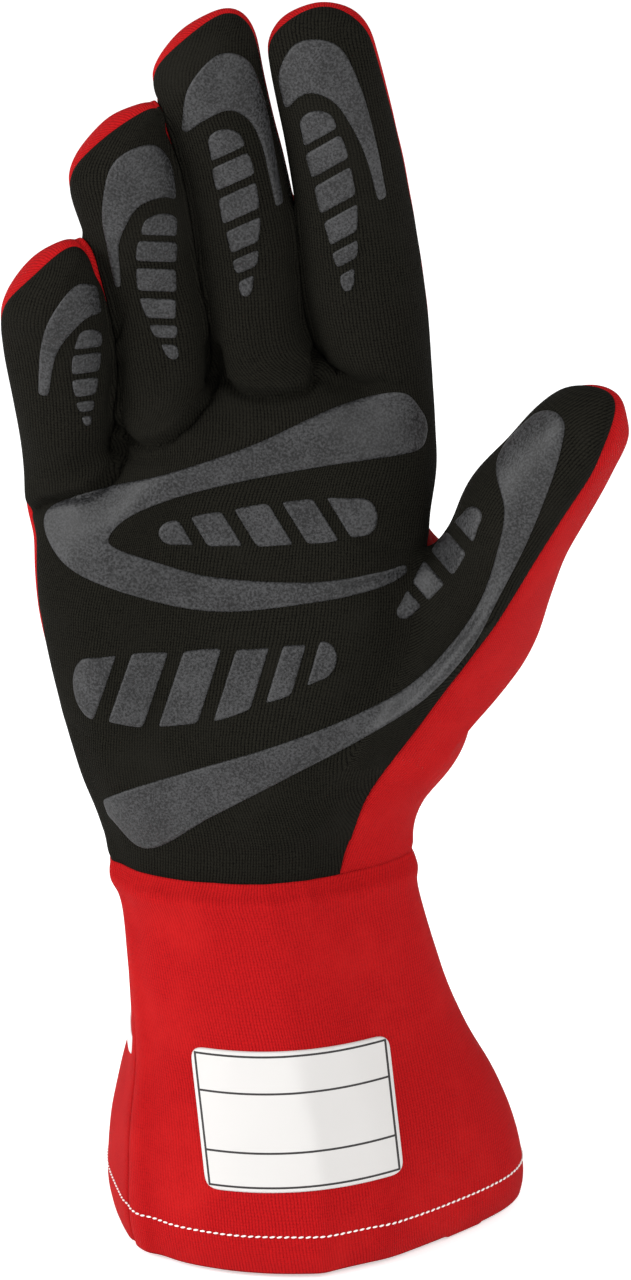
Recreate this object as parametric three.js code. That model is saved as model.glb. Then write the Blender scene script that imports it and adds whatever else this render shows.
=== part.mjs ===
// Karting glove for the right hand, in the shape it keeps when it is worn.
// The middle of the cuff's mouth is the origin, the fingers point up along +Z,
// the palm faces -Y and the thumb leans toward +X. Sizes are in millimetres.
import * as THREE from 'three';

// Driving sizes
const PALM_WIDTH = 100;
const PALM_LENGTH = 125;
const CUFF_HEIGHT = 95;
const HEM_WIDTH = 106.6;
const HEM_DEPTH = 92;
const HEM_BAND = 9.5;
const FINGER_LENGTH = 93.5;
const FINGER_WIDTH = 25;
const THUMB_WIDTH = 30;
const WALL = 1.6;
const HEM_WALL = 3;
const SEAM_GAP = 0.3;
const PAD_LIFT = 0.4;
const PAD_CLEAR = 0.3;
const PAD_MOST = 1.5;
const PAD_THICK = 0.6;
const LABEL_THICK = 0.9;
const STRIPE_THICK = 0.8;
const STRIPE_LIFT = 0.7;

// Cloth and print colours
const BLACK_KNIT = { color: 0x1e1c1b, roughness: 0.85, metalness: 0 };
const RED_KNIT = { color: 0xb8141c, roughness: 0.8, metalness: 0 };
const GREY_SILICONE = { color: 0x85858a, roughness: 0.5, metalness: 0 };
const WHITE_CLOTH = { color: 0xeeeeec, roughness: 0.7, metalness: 0 };

const radians = THREE.MathUtils.degToRad;
const mix = THREE.MathUtils.lerp;
const between = (a, b, t) => [mix(a[0], b[0], t), mix(a[1], b[1], t)];

// Columns of the hand and cuff, counter-clockwise from the little finger's side across the palm
// and back: where each stands across the palm, and how high the finger roots are there.
const COLUMNS = [
  { name: 'littleSide', face: 0, across: -1.0, crown: 0.745 },
  { name: 'littleEdge', face: 1, across: -0.92, crown: 0.75 },
  { name: 'little', face: 1, across: -0.77, crown: 0.79 },
  { name: 'cleft1', face: 1, across: -0.55, crown: 0.83 },
  { name: 'ring', face: 1, across: -0.33, crown: 0.9 },
  { name: 'cleft2', face: 1, across: -0.1, crown: 0.965 },
  { name: 'middle', face: 1, across: 0.16, crown: 0.985 },
  { name: 'cleft3', face: 1, across: 0.42, crown: 1.0 },
  { name: 'index', face: 1, across: 0.71, crown: 0.94 },
  { name: 'indexEdge', face: 1, across: 0.93, crown: 0.89 },
  { name: 'indexSide', face: 0, across: 1.0, crown: 0.865 },
  { name: 'indexEdgeBack', face: -1, across: 0.93, crown: 0.88 },
  { name: 'indexBack', face: -1, across: 0.71, crown: 0.93 },
  { name: 'cleft3Back', face: -1, across: 0.42, crown: 0.955 },
  { name: 'middleBack', face: -1, across: 0.16, crown: 0.945 },
  { name: 'cleft2Back', face: -1, across: -0.1, crown: 0.92 },
  { name: 'ringBack', face: -1, across: -0.33, crown: 0.87 },
  { name: 'cleft1Back', face: -1, across: -0.55, crown: 0.79 },
  { name: 'littleBack', face: -1, across: -0.77, crown: 0.75 },
  { name: 'littleEdgeBack', face: -1, across: -0.92, crown: 0.735 },
];
const PALM_COLUMN_COUNT = 10;
const CUFF_COLUMN_COUNT = 12;

// Rows of the hand, from the wrist seam up to the finger roots. Rise is a share of the palm's
// length, widths and depths are shares of its width. The seam turns are in degrees: how far each
// side seam lies toward the palm.
const THUMB_SEAM = 52;
const HAND_ROWS = [
  {
    rise: 0.0, left: -0.52, right: 0.246, front: -0.24, back: 0.26,
    square: 2.1, thumbSquare: 1.5, hollow: 0, seamLeft: 8, seamRight: THUMB_SEAM,
  },
  {
    rise: 0.12, left: -0.542, right: 0.27, front: -0.25, back: 0.25,
    square: 2.1, thumbSquare: 1.7, hollow: 0.01, seamLeft: 8, seamRight: 51,
  },
  {
    rise: 0.28, left: -0.589, right: 0.378, front: -0.265, back: 0.22,
    square: 2.3, thumbSquare: 2.2, hollow: 0.035, seamLeft: 7, seamRight: 56,
  },
  {
    rise: 0.52, left: -0.643, right: 0.35, front: -0.25, back: 0.195,
    square: 2.5, thumbSquare: 2.5, hollow: 0.05, seamLeft: 6, seamRight: 30,
  },
  {
    rise: 0.752, left: -0.681, right: 0.283, front: -0.215, back: 0.17,
    square: 2.6, thumbSquare: 2.6, hollow: 0.03, seamLeft: 7, seamRight: 10,
  },
  {
    rise: 0.89, left: -0.683, right: 0.292, front: -0.195, back: 0.15,
    square: 2.6, thumbSquare: 2.6, hollow: 0, seamLeft: 8, seamRight: 2,
  },
  {
    rise: 1.0, left: -0.703, right: 0.292, front: -0.15, back: 0.115,
    square: 2.4, thumbSquare: 2.4, hollow: 0, seamLeft: 6, seamRight: 0,
  },
];
const THUMB_ROW_LOW = 2;
const CLEFT_DEPTH = 0.045;

// Rows of the cuff, from the wrist seam down to the hem. Drop is a share of the cuff's height; the
// row's own width and depth units go from the palm's width to the hem's. The first rows are the
// gathered roll.
const CUFF_ROWS = [
  { drop: 0.05, left: -0.503, right: 0.248, front: -0.263, back: 0.273, thumbSquare: 1.5, seamLeft: 8 },
  { drop: 0.12, left: -0.483, right: 0.257, front: -0.273, back: 0.283, thumbSquare: 1.45, seamLeft: 9 },
  { drop: 0.25, left: -0.466, right: 0.286, front: -0.296, back: 0.306, thumbSquare: 1.4, seamLeft: 12 },
  { drop: 0.48, left: -0.457, right: 0.354, front: -0.348, back: 0.364, thumbSquare: 1.35, seamLeft: 19 },
  { drop: 0.66, left: -0.481, right: 0.44, front: -0.407, back: 0.422, thumbSquare: 1.35, seamLeft: 25 },
  { drop: 0.88, left: -0.499, right: 0.495, front: -0.48, back: 0.478, thumbSquare: 1.36, seamLeft: 30 },
  { drop: 1.0, left: -0.486, right: 0.49, front: -0.478, back: 0.492, thumbSquare: 1.25, seamLeft: 32 },
];
const CUFF_SQUARE = 2.4;

// Fingers: the middle of the root and the tip, and a row per section. Across and forward are shares
// of the palm's width; a root's rise is a share of the palm's length above the wrist seam, a tip's
// reach a share of the finger length above its root. In a section, along is the share of the
// finger's own length, aside, half and deep are shares of its width, seam is how far the side seams
// lie toward the palm in degrees, slant tips the section sideways. Tucked is how many degrees the
// left and right seams lie back from that, out of sight between two fingers.
const FINGERS = [
  {
    name: 'little', cleft: [0, 3], tucked: [0, 7], root: [-0.592, -0.02, 0.784], tip: [-0.582, -0.2, 0.652],
    sections: [
      { along: 0.2, aside: -0.042, half: 0.446, deep: 0.46, seam: 0, slant: -8 },
      { along: 0.4, aside: -0.057, half: 0.515, deep: 0.44, seam: 5, slant: -3 },
      { along: 0.62, aside: -0.124, half: 0.527, deep: 0.43, seam: 10, slant: -5 },
      { along: 0.8, aside: -0.171, half: 0.482, deep: 0.39, seam: 14, slant: -12 },
      { along: 0.93, aside: -0.087, half: 0.32, deep: 0.28, seam: 22, slant: -20 },
    ],
  },
  {
    name: 'ring', cleft: [3, 5], tucked: [0, 7], root: [-0.362, -0.02, 0.888], tip: [-0.395, -0.21, 0.866],
    sections: [
      { along: 0.16, aside: 0.012, half: 0.444, deep: 0.46, seam: 0, slant: -12 },
      { along: 0.36, aside: -0.032, half: 0.465, deep: 0.45, seam: 0, slant: -2 },
      { along: 0.56, aside: -0.133, half: 0.497, deep: 0.44, seam: 2, slant: -3 },
      { along: 0.76, aside: -0.242, half: 0.535, deep: 0.43, seam: 8, slant: -8 },
      { along: 0.88, aside: -0.272, half: 0.468, deep: 0.36, seam: 16, slant: -14 },
      { along: 0.96, aside: -0.143, half: 0.317, deep: 0.25, seam: 22, slant: -18 },
    ],
  },
  {
    name: 'middle', cleft: [5, 7], tucked: [0, 5], root: [-0.122, -0.02, 0.968], tip: [-0.222, -0.22, 1],
    sections: [
      { along: 0.12, aside: -0.015, half: 0.46, deep: 0.47, seam: 0, slant: -5 },
      { along: 0.32, aside: -0.014, half: 0.492, deep: 0.46, seam: 0, slant: 0 },
      { along: 0.53, aside: -0.034, half: 0.494, deep: 0.45, seam: 2, slant: -3 },
      { along: 0.74, aside: -0.125, half: 0.497, deep: 0.43, seam: 8, slant: -7 },
      { along: 0.88, aside: -0.188, half: 0.537, deep: 0.37, seam: 14, slant: -9 },
      { along: 0.96, aside: -0.097, half: 0.367, deep: 0.26, seam: 20, slant: -12 },
    ],
  },
  {
    name: 'index', cleft: [7, 10], tucked: [4, 0], root: [0.148, -0.02, 0.904], tip: [0.008, -0.23, 1.107],
    sections: [
      { along: 0.15, aside: 0.08, half: 0.522, deep: 0.48, seam: 0, slant: 8 },
      { along: 0.32, aside: 0.05, half: 0.583, deep: 0.48, seam: 0, slant: 2 },
      { along: 0.53, aside: 0.055, half: 0.549, deep: 0.46, seam: 2, slant: -2 },
      { along: 0.74, aside: 0.013, half: 0.526, deep: 0.44, seam: 5, slant: -3 },
      { along: 0.88, aside: -0.03, half: 0.531, deep: 0.38, seam: 16, slant: -2 },
      { along: 0.96, aside: -0.044, half: 0.439, deep: 0.27, seam: 24, slant: 0 },
    ],
  },
];

// Thumb: the middle of each section as shares of the palm's width and length, its half sizes as
// shares of the thumb's width. Lean is the angle of the thumb's own axis above level, roll turns
// its pad toward the fingers.
const THUMB_SECTIONS = [
  { across: 0.407, forward: -0.11, rise: 0.538, half: 0.72, deep: 0.593, lean: 27, roll: 26, seam: 55 },
  { across: 0.473, forward: -0.165, rise: 0.698, half: 0.545, deep: 0.533, lean: 42, roll: 32, seam: 30 },
  { across: 0.556, forward: -0.22, rise: 0.824, half: 0.445, deep: 0.46, lean: 54, roll: 36, seam: 23 },
  { across: 0.612, forward: -0.262, rise: 0.904, half: 0.393, deep: 0.4, lean: 55, roll: 38, seam: 18 },
  { across: 0.66, forward: -0.3, rise: 0.96, half: 0.317, deep: 0.307, lean: 55, roll: 40, seam: 24 },
];
const THUMB_TIP = { across: 0.702, forward: -0.33, rise: 1.004 };

// The cage is a net of four-sided faces through whose points the cloth passes.
const cage = { points: [], faces: [], panels: [] };

function addPoint(x, y, z) {
  cage.points.push(new THREE.Vector3(x, y, z));
  return cage.points.length - 1;
}

function addFace(panel, a, b, c, d) {
  cage.faces.push([a, b, c, d]);
  cage.panels.push(panel);
}

// Place on a squared oval: angle 0 is the thumb's side, 90 the palm, 180 the little finger's side
function onOval(row, degrees) {
  const middleX = (row.left + row.right) / 2;
  const middleY = (row.front + row.back) / 2;
  const halfX = (row.right - row.left) / 2;
  const halfY = (row.back - row.front) / 2;
  const c = Math.cos(radians(degrees));
  const s = Math.sin(radians(degrees));
  const power = 2 / (s > 0 && c > 0 ? row.thumbSquare : row.square);
  const x = middleX + halfX * Math.sign(c) * Math.abs(c) ** power;
  const y = middleY - halfY * Math.sign(s) * Math.abs(s) ** power;
  return [x * row.wide, y * row.deep];
}

// Each column keeps its share of the way round between the two side seams
function columnAngle(column, row) {
  const spread = THREE.MathUtils.radToDeg(Math.acos(column.across)) / 180;
  const end = 180 - row.seamLeft;
  if (column.face < 0) {
    return mix(row.seamRight, -180 - row.seamLeft, spread);
  }
  return mix(row.seamRight, end, spread);
}

function columnPoint(column, row, height) {
  const [x, y] = onOval(row, columnAngle(column, row));
  let lift = 0;
  if (column.face > 0 && row.hollow) {
    lift = row.hollow * PALM_WIDTH * Math.max(0, 1 - (column.across / 0.75) ** 2) ** 1.5;
  }
  if (row.rise === 1 && column.name.startsWith('cleft')) {
    lift = CLEFT_DEPTH * PALM_WIDTH * column.face;
  }
  return addPoint(x, y + lift, height);
}

const handRings = HAND_ROWS.map((row) => COLUMNS.map((column) => {
  const height = CUFF_HEIGHT + PALM_LENGTH * column.crown * row.rise;
  return columnPoint(column, { ...row, wide: PALM_WIDTH, deep: PALM_WIDTH }, height);
}));
const cuffRings = [handRings[0]];
for (const row of CUFF_ROWS) {
  const full = {
    ...row,
    square: CUFF_SQUARE,
    seamRight: THUMB_SEAM,
    wide: mix(PALM_WIDTH, HEM_WIDTH, row.drop),
    deep: mix(PALM_WIDTH, HEM_DEPTH, row.drop),
  };
  cuffRings.push(COLUMNS.map((column) => columnPoint(column, full, CUFF_HEIGHT * (1 - row.drop))));
}

// Bands between neighbouring rings, leaving out the patch where the thumb grows from
const sides = COLUMNS.length;
for (let r = 0; r < HAND_ROWS.length - 1; r += 1) {
  for (let c = 0; c < sides; c += 1) {
    const next = (c + 1) % sides;
    const panel = c < PALM_COLUMN_COUNT ? 'palm_panel' : 'back_panel';
    const atThumbRow = r === THUMB_ROW_LOW || r === THUMB_ROW_LOW + 1;
    const atThumbSide = c === PALM_COLUMN_COUNT - 1 || c === PALM_COLUMN_COUNT;
    if (!(atThumbRow && atThumbSide)) {
      addFace(panel, handRings[r][c], handRings[r][next], handRings[r + 1][next], handRings[r + 1][c]);
    }
  }
}
for (let r = 0; r < cuffRings.length - 1; r += 1) {
  for (let c = 0; c < sides; c += 1) {
    const next = (c + 1) % sides;
    const panel = c < CUFF_COLUMN_COUNT ? 'cuff_front' : 'cuff_back';
    addFace(panel, cuffRings[r + 1][c], cuffRings[r + 1][next], cuffRings[r][next], cuffRings[r][c]);
  }
}

// A tube of eight-point rings closed by a tip: points 0-4 face the palm, 4-8 the back
function addTube(rootRing, rings, tip) {
  let below = rootRing;
  for (const ring of rings) {
    for (let i = 0; i < 8; i += 1) {
      const next = (i + 1) % 8;
      addFace(i < 4 ? 'palm_panel' : 'back_panel', below[i], below[next], ring[next], ring[i]);
    }
    below = ring;
  }
  for (let i = 0; i < 8; i += 2) {
    addFace(i < 4 ? 'palm_panel' : 'back_panel', below[i], below[i + 1], below[(i + 2) % 8], tip);
  }
}

// Eight points round a section; seam moves the two side points toward the palm
function sectionRing(centre, side, palmward, half, deep, seamLeft, seamRight) {
  const turns = [180 - seamLeft, 135, 90, (90 + seamRight) / 2, seamRight, -45, -90, -135];
  return turns.map((degrees) => {
    const c = Math.cos(radians(degrees)) * half;
    const s = Math.sin(radians(degrees)) * deep;
    const p = centre.clone().addScaledVector(side, c).addScaledVector(palmward, s);
    return addPoint(p.x, p.y, p.z);
  });
}

// Fingers stand in the row of roots and curl forward toward their tips
const topRing = handRings[HAND_ROWS.length - 1];
const cleftMiddles = {};
for (const [front, back] of [[3, 17], [5, 15], [7, 13]]) {
  const a = cage.points[topRing[front]];
  const b = cage.points[topRing[back]];
  cleftMiddles[front] = addPoint((a.x + b.x) / 2, (a.y + b.y) / 2, a.z + 0.5);
}

function rootRingOf(finger) {
  const [low, high] = finger.cleft;
  const back = (column) => (column === 0 ? 0 : sides - column);
  const left = low === 0 ? topRing[0] : cleftMiddles[low];
  const right = high === PALM_COLUMN_COUNT ? topRing[PALM_COLUMN_COUNT] : cleftMiddles[high];
  const leftEdge = low === 0 ? 1 : low;
  const rightEdge = high === PALM_COLUMN_COUNT ? PALM_COLUMN_COUNT - 1 : high;
  const ridge = rightEdge - 1;
  return [left, topRing[leftEdge], topRing[ridge], topRing[rightEdge], right,
    topRing[back(rightEdge)], topRing[back(ridge)], topRing[back(leftEdge)]];
}

function toPlace([across, forward, rise]) {
  return new THREE.Vector3(across * PALM_WIDTH, forward * PALM_WIDTH, CUFF_HEIGHT + rise * PALM_LENGTH);
}

for (const finger of FINGERS) {
  const root = toPlace(finger.root);
  const tip = toPlace(finger.tip).setZ(root.z + finger.tip[2] * FINGER_LENGTH);
  const drop = tip.y - root.y;
  const axis = new THREE.Vector3(tip.x - root.x, 0, tip.z - root.z);
  const across = new THREE.Vector3(axis.z, 0, -axis.x).normalize();
  const rings = finger.sections.map((section) => {
    const centre = root.clone().addScaledVector(axis, section.along);
    centre.addScaledVector(across, section.aside * FINGER_WIDTH);
    centre.y += drop * section.along ** 1.5;
    const slope = drop * 1.5 * section.along ** 0.5;
    const along = axis.clone().setY(slope).normalize();
    const side = across.clone().applyAxisAngle(new THREE.Vector3(0, 1, 0), radians(section.slant));
    const palmward = side.clone().cross(along).normalize().negate();
    if (palmward.y > 0) {
      palmward.negate();
    }
    return sectionRing(centre, side, palmward, section.half * FINGER_WIDTH,
      section.deep * FINGER_WIDTH, section.seam - finger.tucked[0], section.seam - finger.tucked[1]);
  });
  addTube(rootRingOf(finger), rings, addPoint(tip.x, tip.y, tip.z));
}

// Thumb
const low = handRings[THUMB_ROW_LOW];
const waist = handRings[THUMB_ROW_LOW + 1];
const high = handRings[THUMB_ROW_LOW + 2];
const thumbRoot = [high[10], high[9], waist[9], low[9], low[10], low[11], waist[11], high[11]];
const thumbCentres = THUMB_SECTIONS.map((s) => toPlace([s.across, s.forward, s.rise]));
const thumbTip = toPlace([THUMB_TIP.across, THUMB_TIP.forward, THUMB_TIP.rise]);
const thumbRings = THUMB_SECTIONS.map((section, i) => {
  const lean = radians(section.lean);
  const ahead = i + 1 < thumbCentres.length ? thumbCentres[i + 1] : thumbTip;
  const forwardSlope = (ahead.y - thumbCentres[i].y) / ahead.distanceTo(thumbCentres[i]);
  const along = new THREE.Vector3(Math.cos(lean), forwardSlope, Math.sin(lean)).normalize();
  const level = new THREE.Vector3(Math.sin(lean), 0, -Math.cos(lean));
  const palmward = level.clone().cross(along).normalize();
  if (palmward.y > 0) {
    palmward.negate();
  }
  const side = level.clone().applyAxisAngle(along, radians(section.roll));
  const face = palmward.clone().applyAxisAngle(along, radians(section.roll));
  if (side.y > 0) {
    side.copy(level).applyAxisAngle(along, -radians(section.roll));
    face.copy(palmward).applyAxisAngle(along, -radians(section.roll));
  }
  return sectionRing(thumbCentres[i], side, face, section.half * THUMB_WIDTH,
    section.deep * THUMB_WIDTH, 0, section.seam);
});
addTube(thumbRoot, thumbRings, addPoint(thumbTip.x, thumbTip.y, thumbTip.z));

// Neighbours of each point in the net: along edges, and across faces
function findNeighbours(net) {
  const around = net.points.map(() => ({ edges: new Set(), corners: [], rim: new Set() }));
  const uses = new Map();
  for (const face of net.faces) {
    for (let i = 0; i < 4; i += 1) {
      const a = face[i];
      const b = face[(i + 1) % 4];
      around[a].edges.add(b);
      around[b].edges.add(a);
      around[a].corners.push(face[(i + 2) % 4]);
      const key = a < b ? `${a}_${b}` : `${b}_${a}`;
      uses.set(key, (uses.get(key) || 0) + 1);
    }
  }
  for (const [key, count] of uses) {
    if (count === 1) {
      const [a, b] = key.split('_').map(Number);
      around[a].rim.add(b);
      around[b].rim.add(a);
    }
  }
  return around;
}

// Where each point of the net comes to lie on the smooth surface
function smoothPlaces(net, around) {
  return net.points.map((point, i) => {
    const near = around[i];
    const place = new THREE.Vector3();
    if (near.rim.size) {
      place.addScaledVector(point, 4);
      near.rim.forEach((n) => place.add(net.points[n]));
      return place.divideScalar(6);
    }
    const n = near.edges.size;
    place.addScaledVector(point, n * n);
    near.edges.forEach((e) => place.addScaledVector(net.points[e], 4));
    near.corners.forEach((c) => place.add(net.points[c]));
    return place.divideScalar(n * (n + 5));
  });
}

// The net is drawn until its smooth surface passes through the wanted points
function fitNet(net, rounds) {
  const wanted = net.points.map((p) => p.clone());
  const around = findNeighbours(net);
  for (let round = 0; round < rounds; round += 1) {
    const places = smoothPlaces(net, around);
    net.points.forEach((p, i) => p.add(wanted[i]).sub(places[i]));
  }
}

// One step of smooth refinement: every face becomes four
function refine(net) {
  const around = findNeighbours(net);
  const points = [];
  const put = (v) => points.push(v) - 1;
  const moved = net.points.map((point, i) => {
    const near = around[i];
    const place = new THREE.Vector3();
    if (near.rim.size) {
      place.addScaledVector(point, 6);
      near.rim.forEach((n) => place.add(net.points[n]));
      return put(place.divideScalar(8));
    }
    const n = near.edges.size;
    place.addScaledVector(point, 4 * n * n - 7 * n);
    near.edges.forEach((e) => place.addScaledVector(net.points[e], 6));
    near.corners.forEach((c) => place.add(net.points[c]));
    return put(place.divideScalar(4 * n * n));
  });
  const centres = net.faces.map((face) => {
    const sum = new THREE.Vector3();
    face.forEach((v) => sum.add(net.points[v]));
    return put(sum.divideScalar(4));
  });
  const edges = new Map();
  net.faces.forEach((face, f) => {
    for (let i = 0; i < 4; i += 1) {
      const a = face[i];
      const b = face[(i + 1) % 4];
      const key = a < b ? `${a}_${b}` : `${b}_${a}`;
      if (!edges.has(key)) {
        edges.set(key, { a, b, faces: [] });
      }
      edges.get(key).faces.push(f);
    }
  });
  const middles = new Map();
  for (const [key, edge] of edges) {
    const place = net.points[edge.a].clone().add(net.points[edge.b]);
    if (edge.faces.length === 2) {
      edge.faces.forEach((f) => place.add(points[centres[f]]));
      place.divideScalar(4);
    } else {
      place.divideScalar(2);
    }
    middles.set(key, put(place));
  }
  const faces = [];
  const panels = [];
  net.faces.forEach((face, f) => {
    for (let i = 0; i < 4; i += 1) {
      const a = face[i];
      const b = face[(i + 1) % 4];
      const z = face[(i + 3) % 4];
      const ab = middles.get(a < b ? `${a}_${b}` : `${b}_${a}`);
      const za = middles.get(z < a ? `${z}_${a}` : `${a}_${z}`);
      faces.push([moved[a], ab, centres[f], za]);
      panels.push(net.panels[f]);
    }
  });
  return { points, faces, panels };
}

const FIT_ROUNDS = 14;
fitNet(cage, FIT_ROUNDS);
const skin = refine(cage);
const skinAround = findNeighbours(skin);
skin.places = smoothPlaces(skin, skinAround);

// Outward directions at the points of the skin
skin.normals = skin.places.map(() => new THREE.Vector3());
for (const face of skin.faces) {
  const [a, b, c, d] = face.map((v) => skin.places[v]);
  const normal = c.clone().sub(a).cross(d.clone().sub(b));
  face.forEach((v) => skin.normals[v].add(normal));
}
skin.normals.forEach((n) => n.normalize());

// The cloth is doubled over the hem's band at the cuff's mouth
function wallAt(place) {
  return place.z < HEM_BAND ? HEM_WALL : WALL;
}

// Share of the seam gap that each of the two panels draws back; the seam runs at a slant to some
// of the faces beside it, so it is more than half
const SEAM_PULL = 0.65;

// A panel is the part of the skin with one name, given the cloth's thickness inward
function makePanel(name, look) {
  const mine = skin.faces.filter((face, f) => skin.panels[f] === name);
  const pull = new Map();
  const shared = new Set();
  skin.faces.forEach((face, f) => {
    if (skin.panels[f] !== name) {
      face.forEach((v) => shared.add(v));
    }
  });
  for (const face of mine) {
    const middle = new THREE.Vector3();
    face.forEach((v) => middle.add(skin.places[v]));
    middle.divideScalar(4);
    for (const v of face) {
      if (!pull.has(v)) {
        pull.set(v, new THREE.Vector3());
      }
      if (shared.has(v)) {
        pull.get(v).add(middle.clone().sub(skin.places[v]).normalize());
      }
    }
  }
  const index = new Map();
  const positions = [];
  for (const [v, toward] of pull) {
    const normal = skin.normals[v];
    toward.addScaledVector(normal, -toward.dot(normal));
    if (toward.lengthSq() > 0) {
      toward.setLength(SEAM_GAP * SEAM_PULL);
    }
    const outer = skin.places[v].clone().add(toward);
    const inner = outer.clone().addScaledVector(normal, -wallAt(skin.places[v]));
    index.set(v, positions.length / 6);
    positions.push(outer.x, outer.y, outer.z, inner.x, inner.y, inner.z);
  }
  const triangles = [];
  const uses = new Map();
  for (const face of mine) {
    const [a, b, c, d] = face.map((v) => index.get(v) * 2);
    triangles.push(a, b, c, a, c, d);
    triangles.push(a + 1, c + 1, b + 1, a + 1, d + 1, c + 1);
    const ids = [...face, face[0]];
    [[a, b], [b, c], [c, d], [d, a]].forEach(([p, q], i) => {
      uses.set(`${p}_${q}`, { p, q, firstLower: ids[i] < ids[i + 1] });
    });
  }
  // The wall's edge is cut along the same diagonal on both sides of a seam
  for (const { p, q, firstLower } of uses.values()) {
    if (uses.has(`${q}_${p}`)) {
      continue;
    }
    if (firstLower) {
      triangles.push(p, p + 1, q + 1, p, q + 1, q);
    } else {
      triangles.push(p, p + 1, q, q, p + 1, q + 1);
    }
  }
  const geometry = new THREE.BufferGeometry();
  geometry.setAttribute('position', new THREE.Float32BufferAttribute(positions, 3));
  geometry.setIndex(triangles);
  geometry.computeVertexNormals();
  const mesh = new THREE.Mesh(geometry, new THREE.MeshStandardMaterial(look));
  mesh.name = name;
  return mesh;
}

const glove = new THREE.Group();
const palmPanel = makePanel('palm_panel', BLACK_KNIT);
const backPanel = makePanel('back_panel', RED_KNIT);
const cuffFront = makePanel('cuff_front', RED_KNIT);
const cuffBack = makePanel('cuff_back', RED_KNIT);
glove.add(palmPanel, backPanel, cuffFront, cuffBack);

// Printed and sewn-on pieces are drawn on a board that stands before the palm and leans back, and
// are laid on the cloth where they would be seen from an eye some way before it. Board places are
// [across, up]: across is a share of the palm's width, up has its zero at mid palm and follows the
// cuff, the palm and the fingers in turn. The board's and the eye's distances are palm widths.
const BOARD_TILT = 18;
const WRIST_ON_BOARD = -0.523;
const ROOTS_ON_BOARD = 0.55;
const UP_PER_CUFF = 1.053;
const UP_PER_PALM = 0.8;
const UP_PER_FINGER = 1.07;
const BOARD_AWAY = 0.42;
const EYE_AWAY = 12.17;
const INTO_PALM = new THREE.Vector3(0, Math.cos(radians(BOARD_TILT)), -Math.sin(radians(BOARD_TILT)));
const BOARD_UP = new THREE.Vector3(0, Math.sin(radians(BOARD_TILT)), Math.cos(radians(BOARD_TILT)));
const STEEPEST = 0.38;
const finder = new THREE.Raycaster();

function boardHeight(up) {
  const onCuff = Math.min(up - WRIST_ON_BOARD, 0);
  const onPalm = THREE.MathUtils.clamp(up, WRIST_ON_BOARD, ROOTS_ON_BOARD) - WRIST_ON_BOARD;
  const onFingers = Math.max(up - ROOTS_ON_BOARD, 0);
  return onCuff * UP_PER_CUFF * CUFF_HEIGHT + onPalm * UP_PER_PALM * PALM_LENGTH
    + onFingers * UP_PER_FINGER * FINGER_LENGTH;
}

function beforePalm(up, away) {
  const place = new THREE.Vector3(0, 0, CUFF_HEIGHT).addScaledVector(BOARD_UP, boardHeight(up));
  return place.addScaledVector(INTO_PALM, -away * PALM_WIDTH);
}

const EYE = beforePalm(0, EYE_AWAY);

// The cloth that the eye sees through a board point
function behindBoard(cloth, [x, up]) {
  const sight = beforePalm(up, BOARD_AWAY).sub(EYE);
  sight.x += x * PALM_WIDTH;
  finder.set(EYE, sight.normalize());
  return finder.intersectObject(cloth)[0];
}

// A row of board points laid on the cloth. A row that looks past the cloth's edge is drawn toward
// its own middle, and if need be toward its piece's middle, until all of it meets cloth.
const DRAW_STEP = 0.05;

function rowOnCloth(cloth, row, pieceMiddle) {
  const rowMiddle = between(row[0], row[row.length - 1], 0.5);
  for (const aim of [rowMiddle, pieceMiddle]) {
    for (let drawn = 0; drawn < 1; drawn += DRAW_STEP) {
      const points = row.map((point) => between(point, aim, drawn));
      const hits = points.map((point) => behindBoard(cloth, point));
      if (hits.every((hit) => hit && hit.normal.dot(INTO_PALM) < -STEEPEST)) {
        return hits.map((hit, j) => (
          { place: hit.point, normal: hit.normal, board: points[j], lift: PAD_LIFT }
        ));
      }
    }
  }
  throw new Error(`no cloth behind the row from ${row[0]}`);
}

// Places inside a four-cornered patch where its clearance is tried
const TRIALS = [[0.5, 0.5], [0.5, 0], [0, 0.5], [0.7, 0.3], [0.3, 0.7], [1, 0.5], [0.5, 1]];

// Weights of a patch's corners at a place in it, for the two triangles it is made of
function cornerWeights(u, v) {
  return u >= v ? [1 - u, u - v, v, 0] : [1 - v, 0, u, v - u];
}

// A thin piece from rows of board points, drawn over the cloth's ridges a little clear of them:
// wherever it dips too near the cloth, the corners round that place are raised a little
const SEATING_ROUNDS = 8;
const SEATING_STEP = 0.6;

function layOn(cloth, name, rows, thick, look) {
  const middle = rows[Math.floor(rows.length / 2)][Math.floor(rows[0].length / 2)];
  const lines = rows.map((row) => rowOnCloth(cloth, row, middle));
  const trials = [];
  for (let i = 0; i < rows.length - 1; i += 1) {
    for (let j = 0; j < rows[0].length - 1; j += 1) {
      const corners = [lines[i][j], lines[i][j + 1], lines[i + 1][j + 1], lines[i + 1][j]];
      for (const [u, v] of TRIALS) {
        const weights = cornerWeights(u, v);
        const board = [0, 0];
        corners.forEach((corner, c) => {
          board[0] += corner.board[0] * weights[c];
          board[1] += corner.board[1] * weights[c];
        });
        const hit = behindBoard(cloth, board);
        if (hit) {
          trials.push({ corners, weights, cloth: hit.point });
        }
      }
    }
  }
  for (let round = 0; round < SEATING_ROUNDS; round += 1) {
    for (const trial of trials) {
      const under = new THREE.Vector3();
      trial.corners.forEach((corner, c) => {
        under.addScaledVector(corner.place, trial.weights[c]);
        under.addScaledVector(corner.normal, trial.weights[c] * corner.lift);
      });
      const clear = trial.cloth.clone().sub(under).dot(INTO_PALM);
      if (clear < PAD_CLEAR) {
        trial.corners.forEach((corner, c) => {
          const raised = corner.lift + (PAD_CLEAR - clear) * SEATING_STEP;
          corner.lift = trial.weights[c] > 0 ? Math.min(raised, PAD_MOST) : corner.lift;
        });
      }
    }
  }
  return shell(name, lines, thick, look);
}

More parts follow.
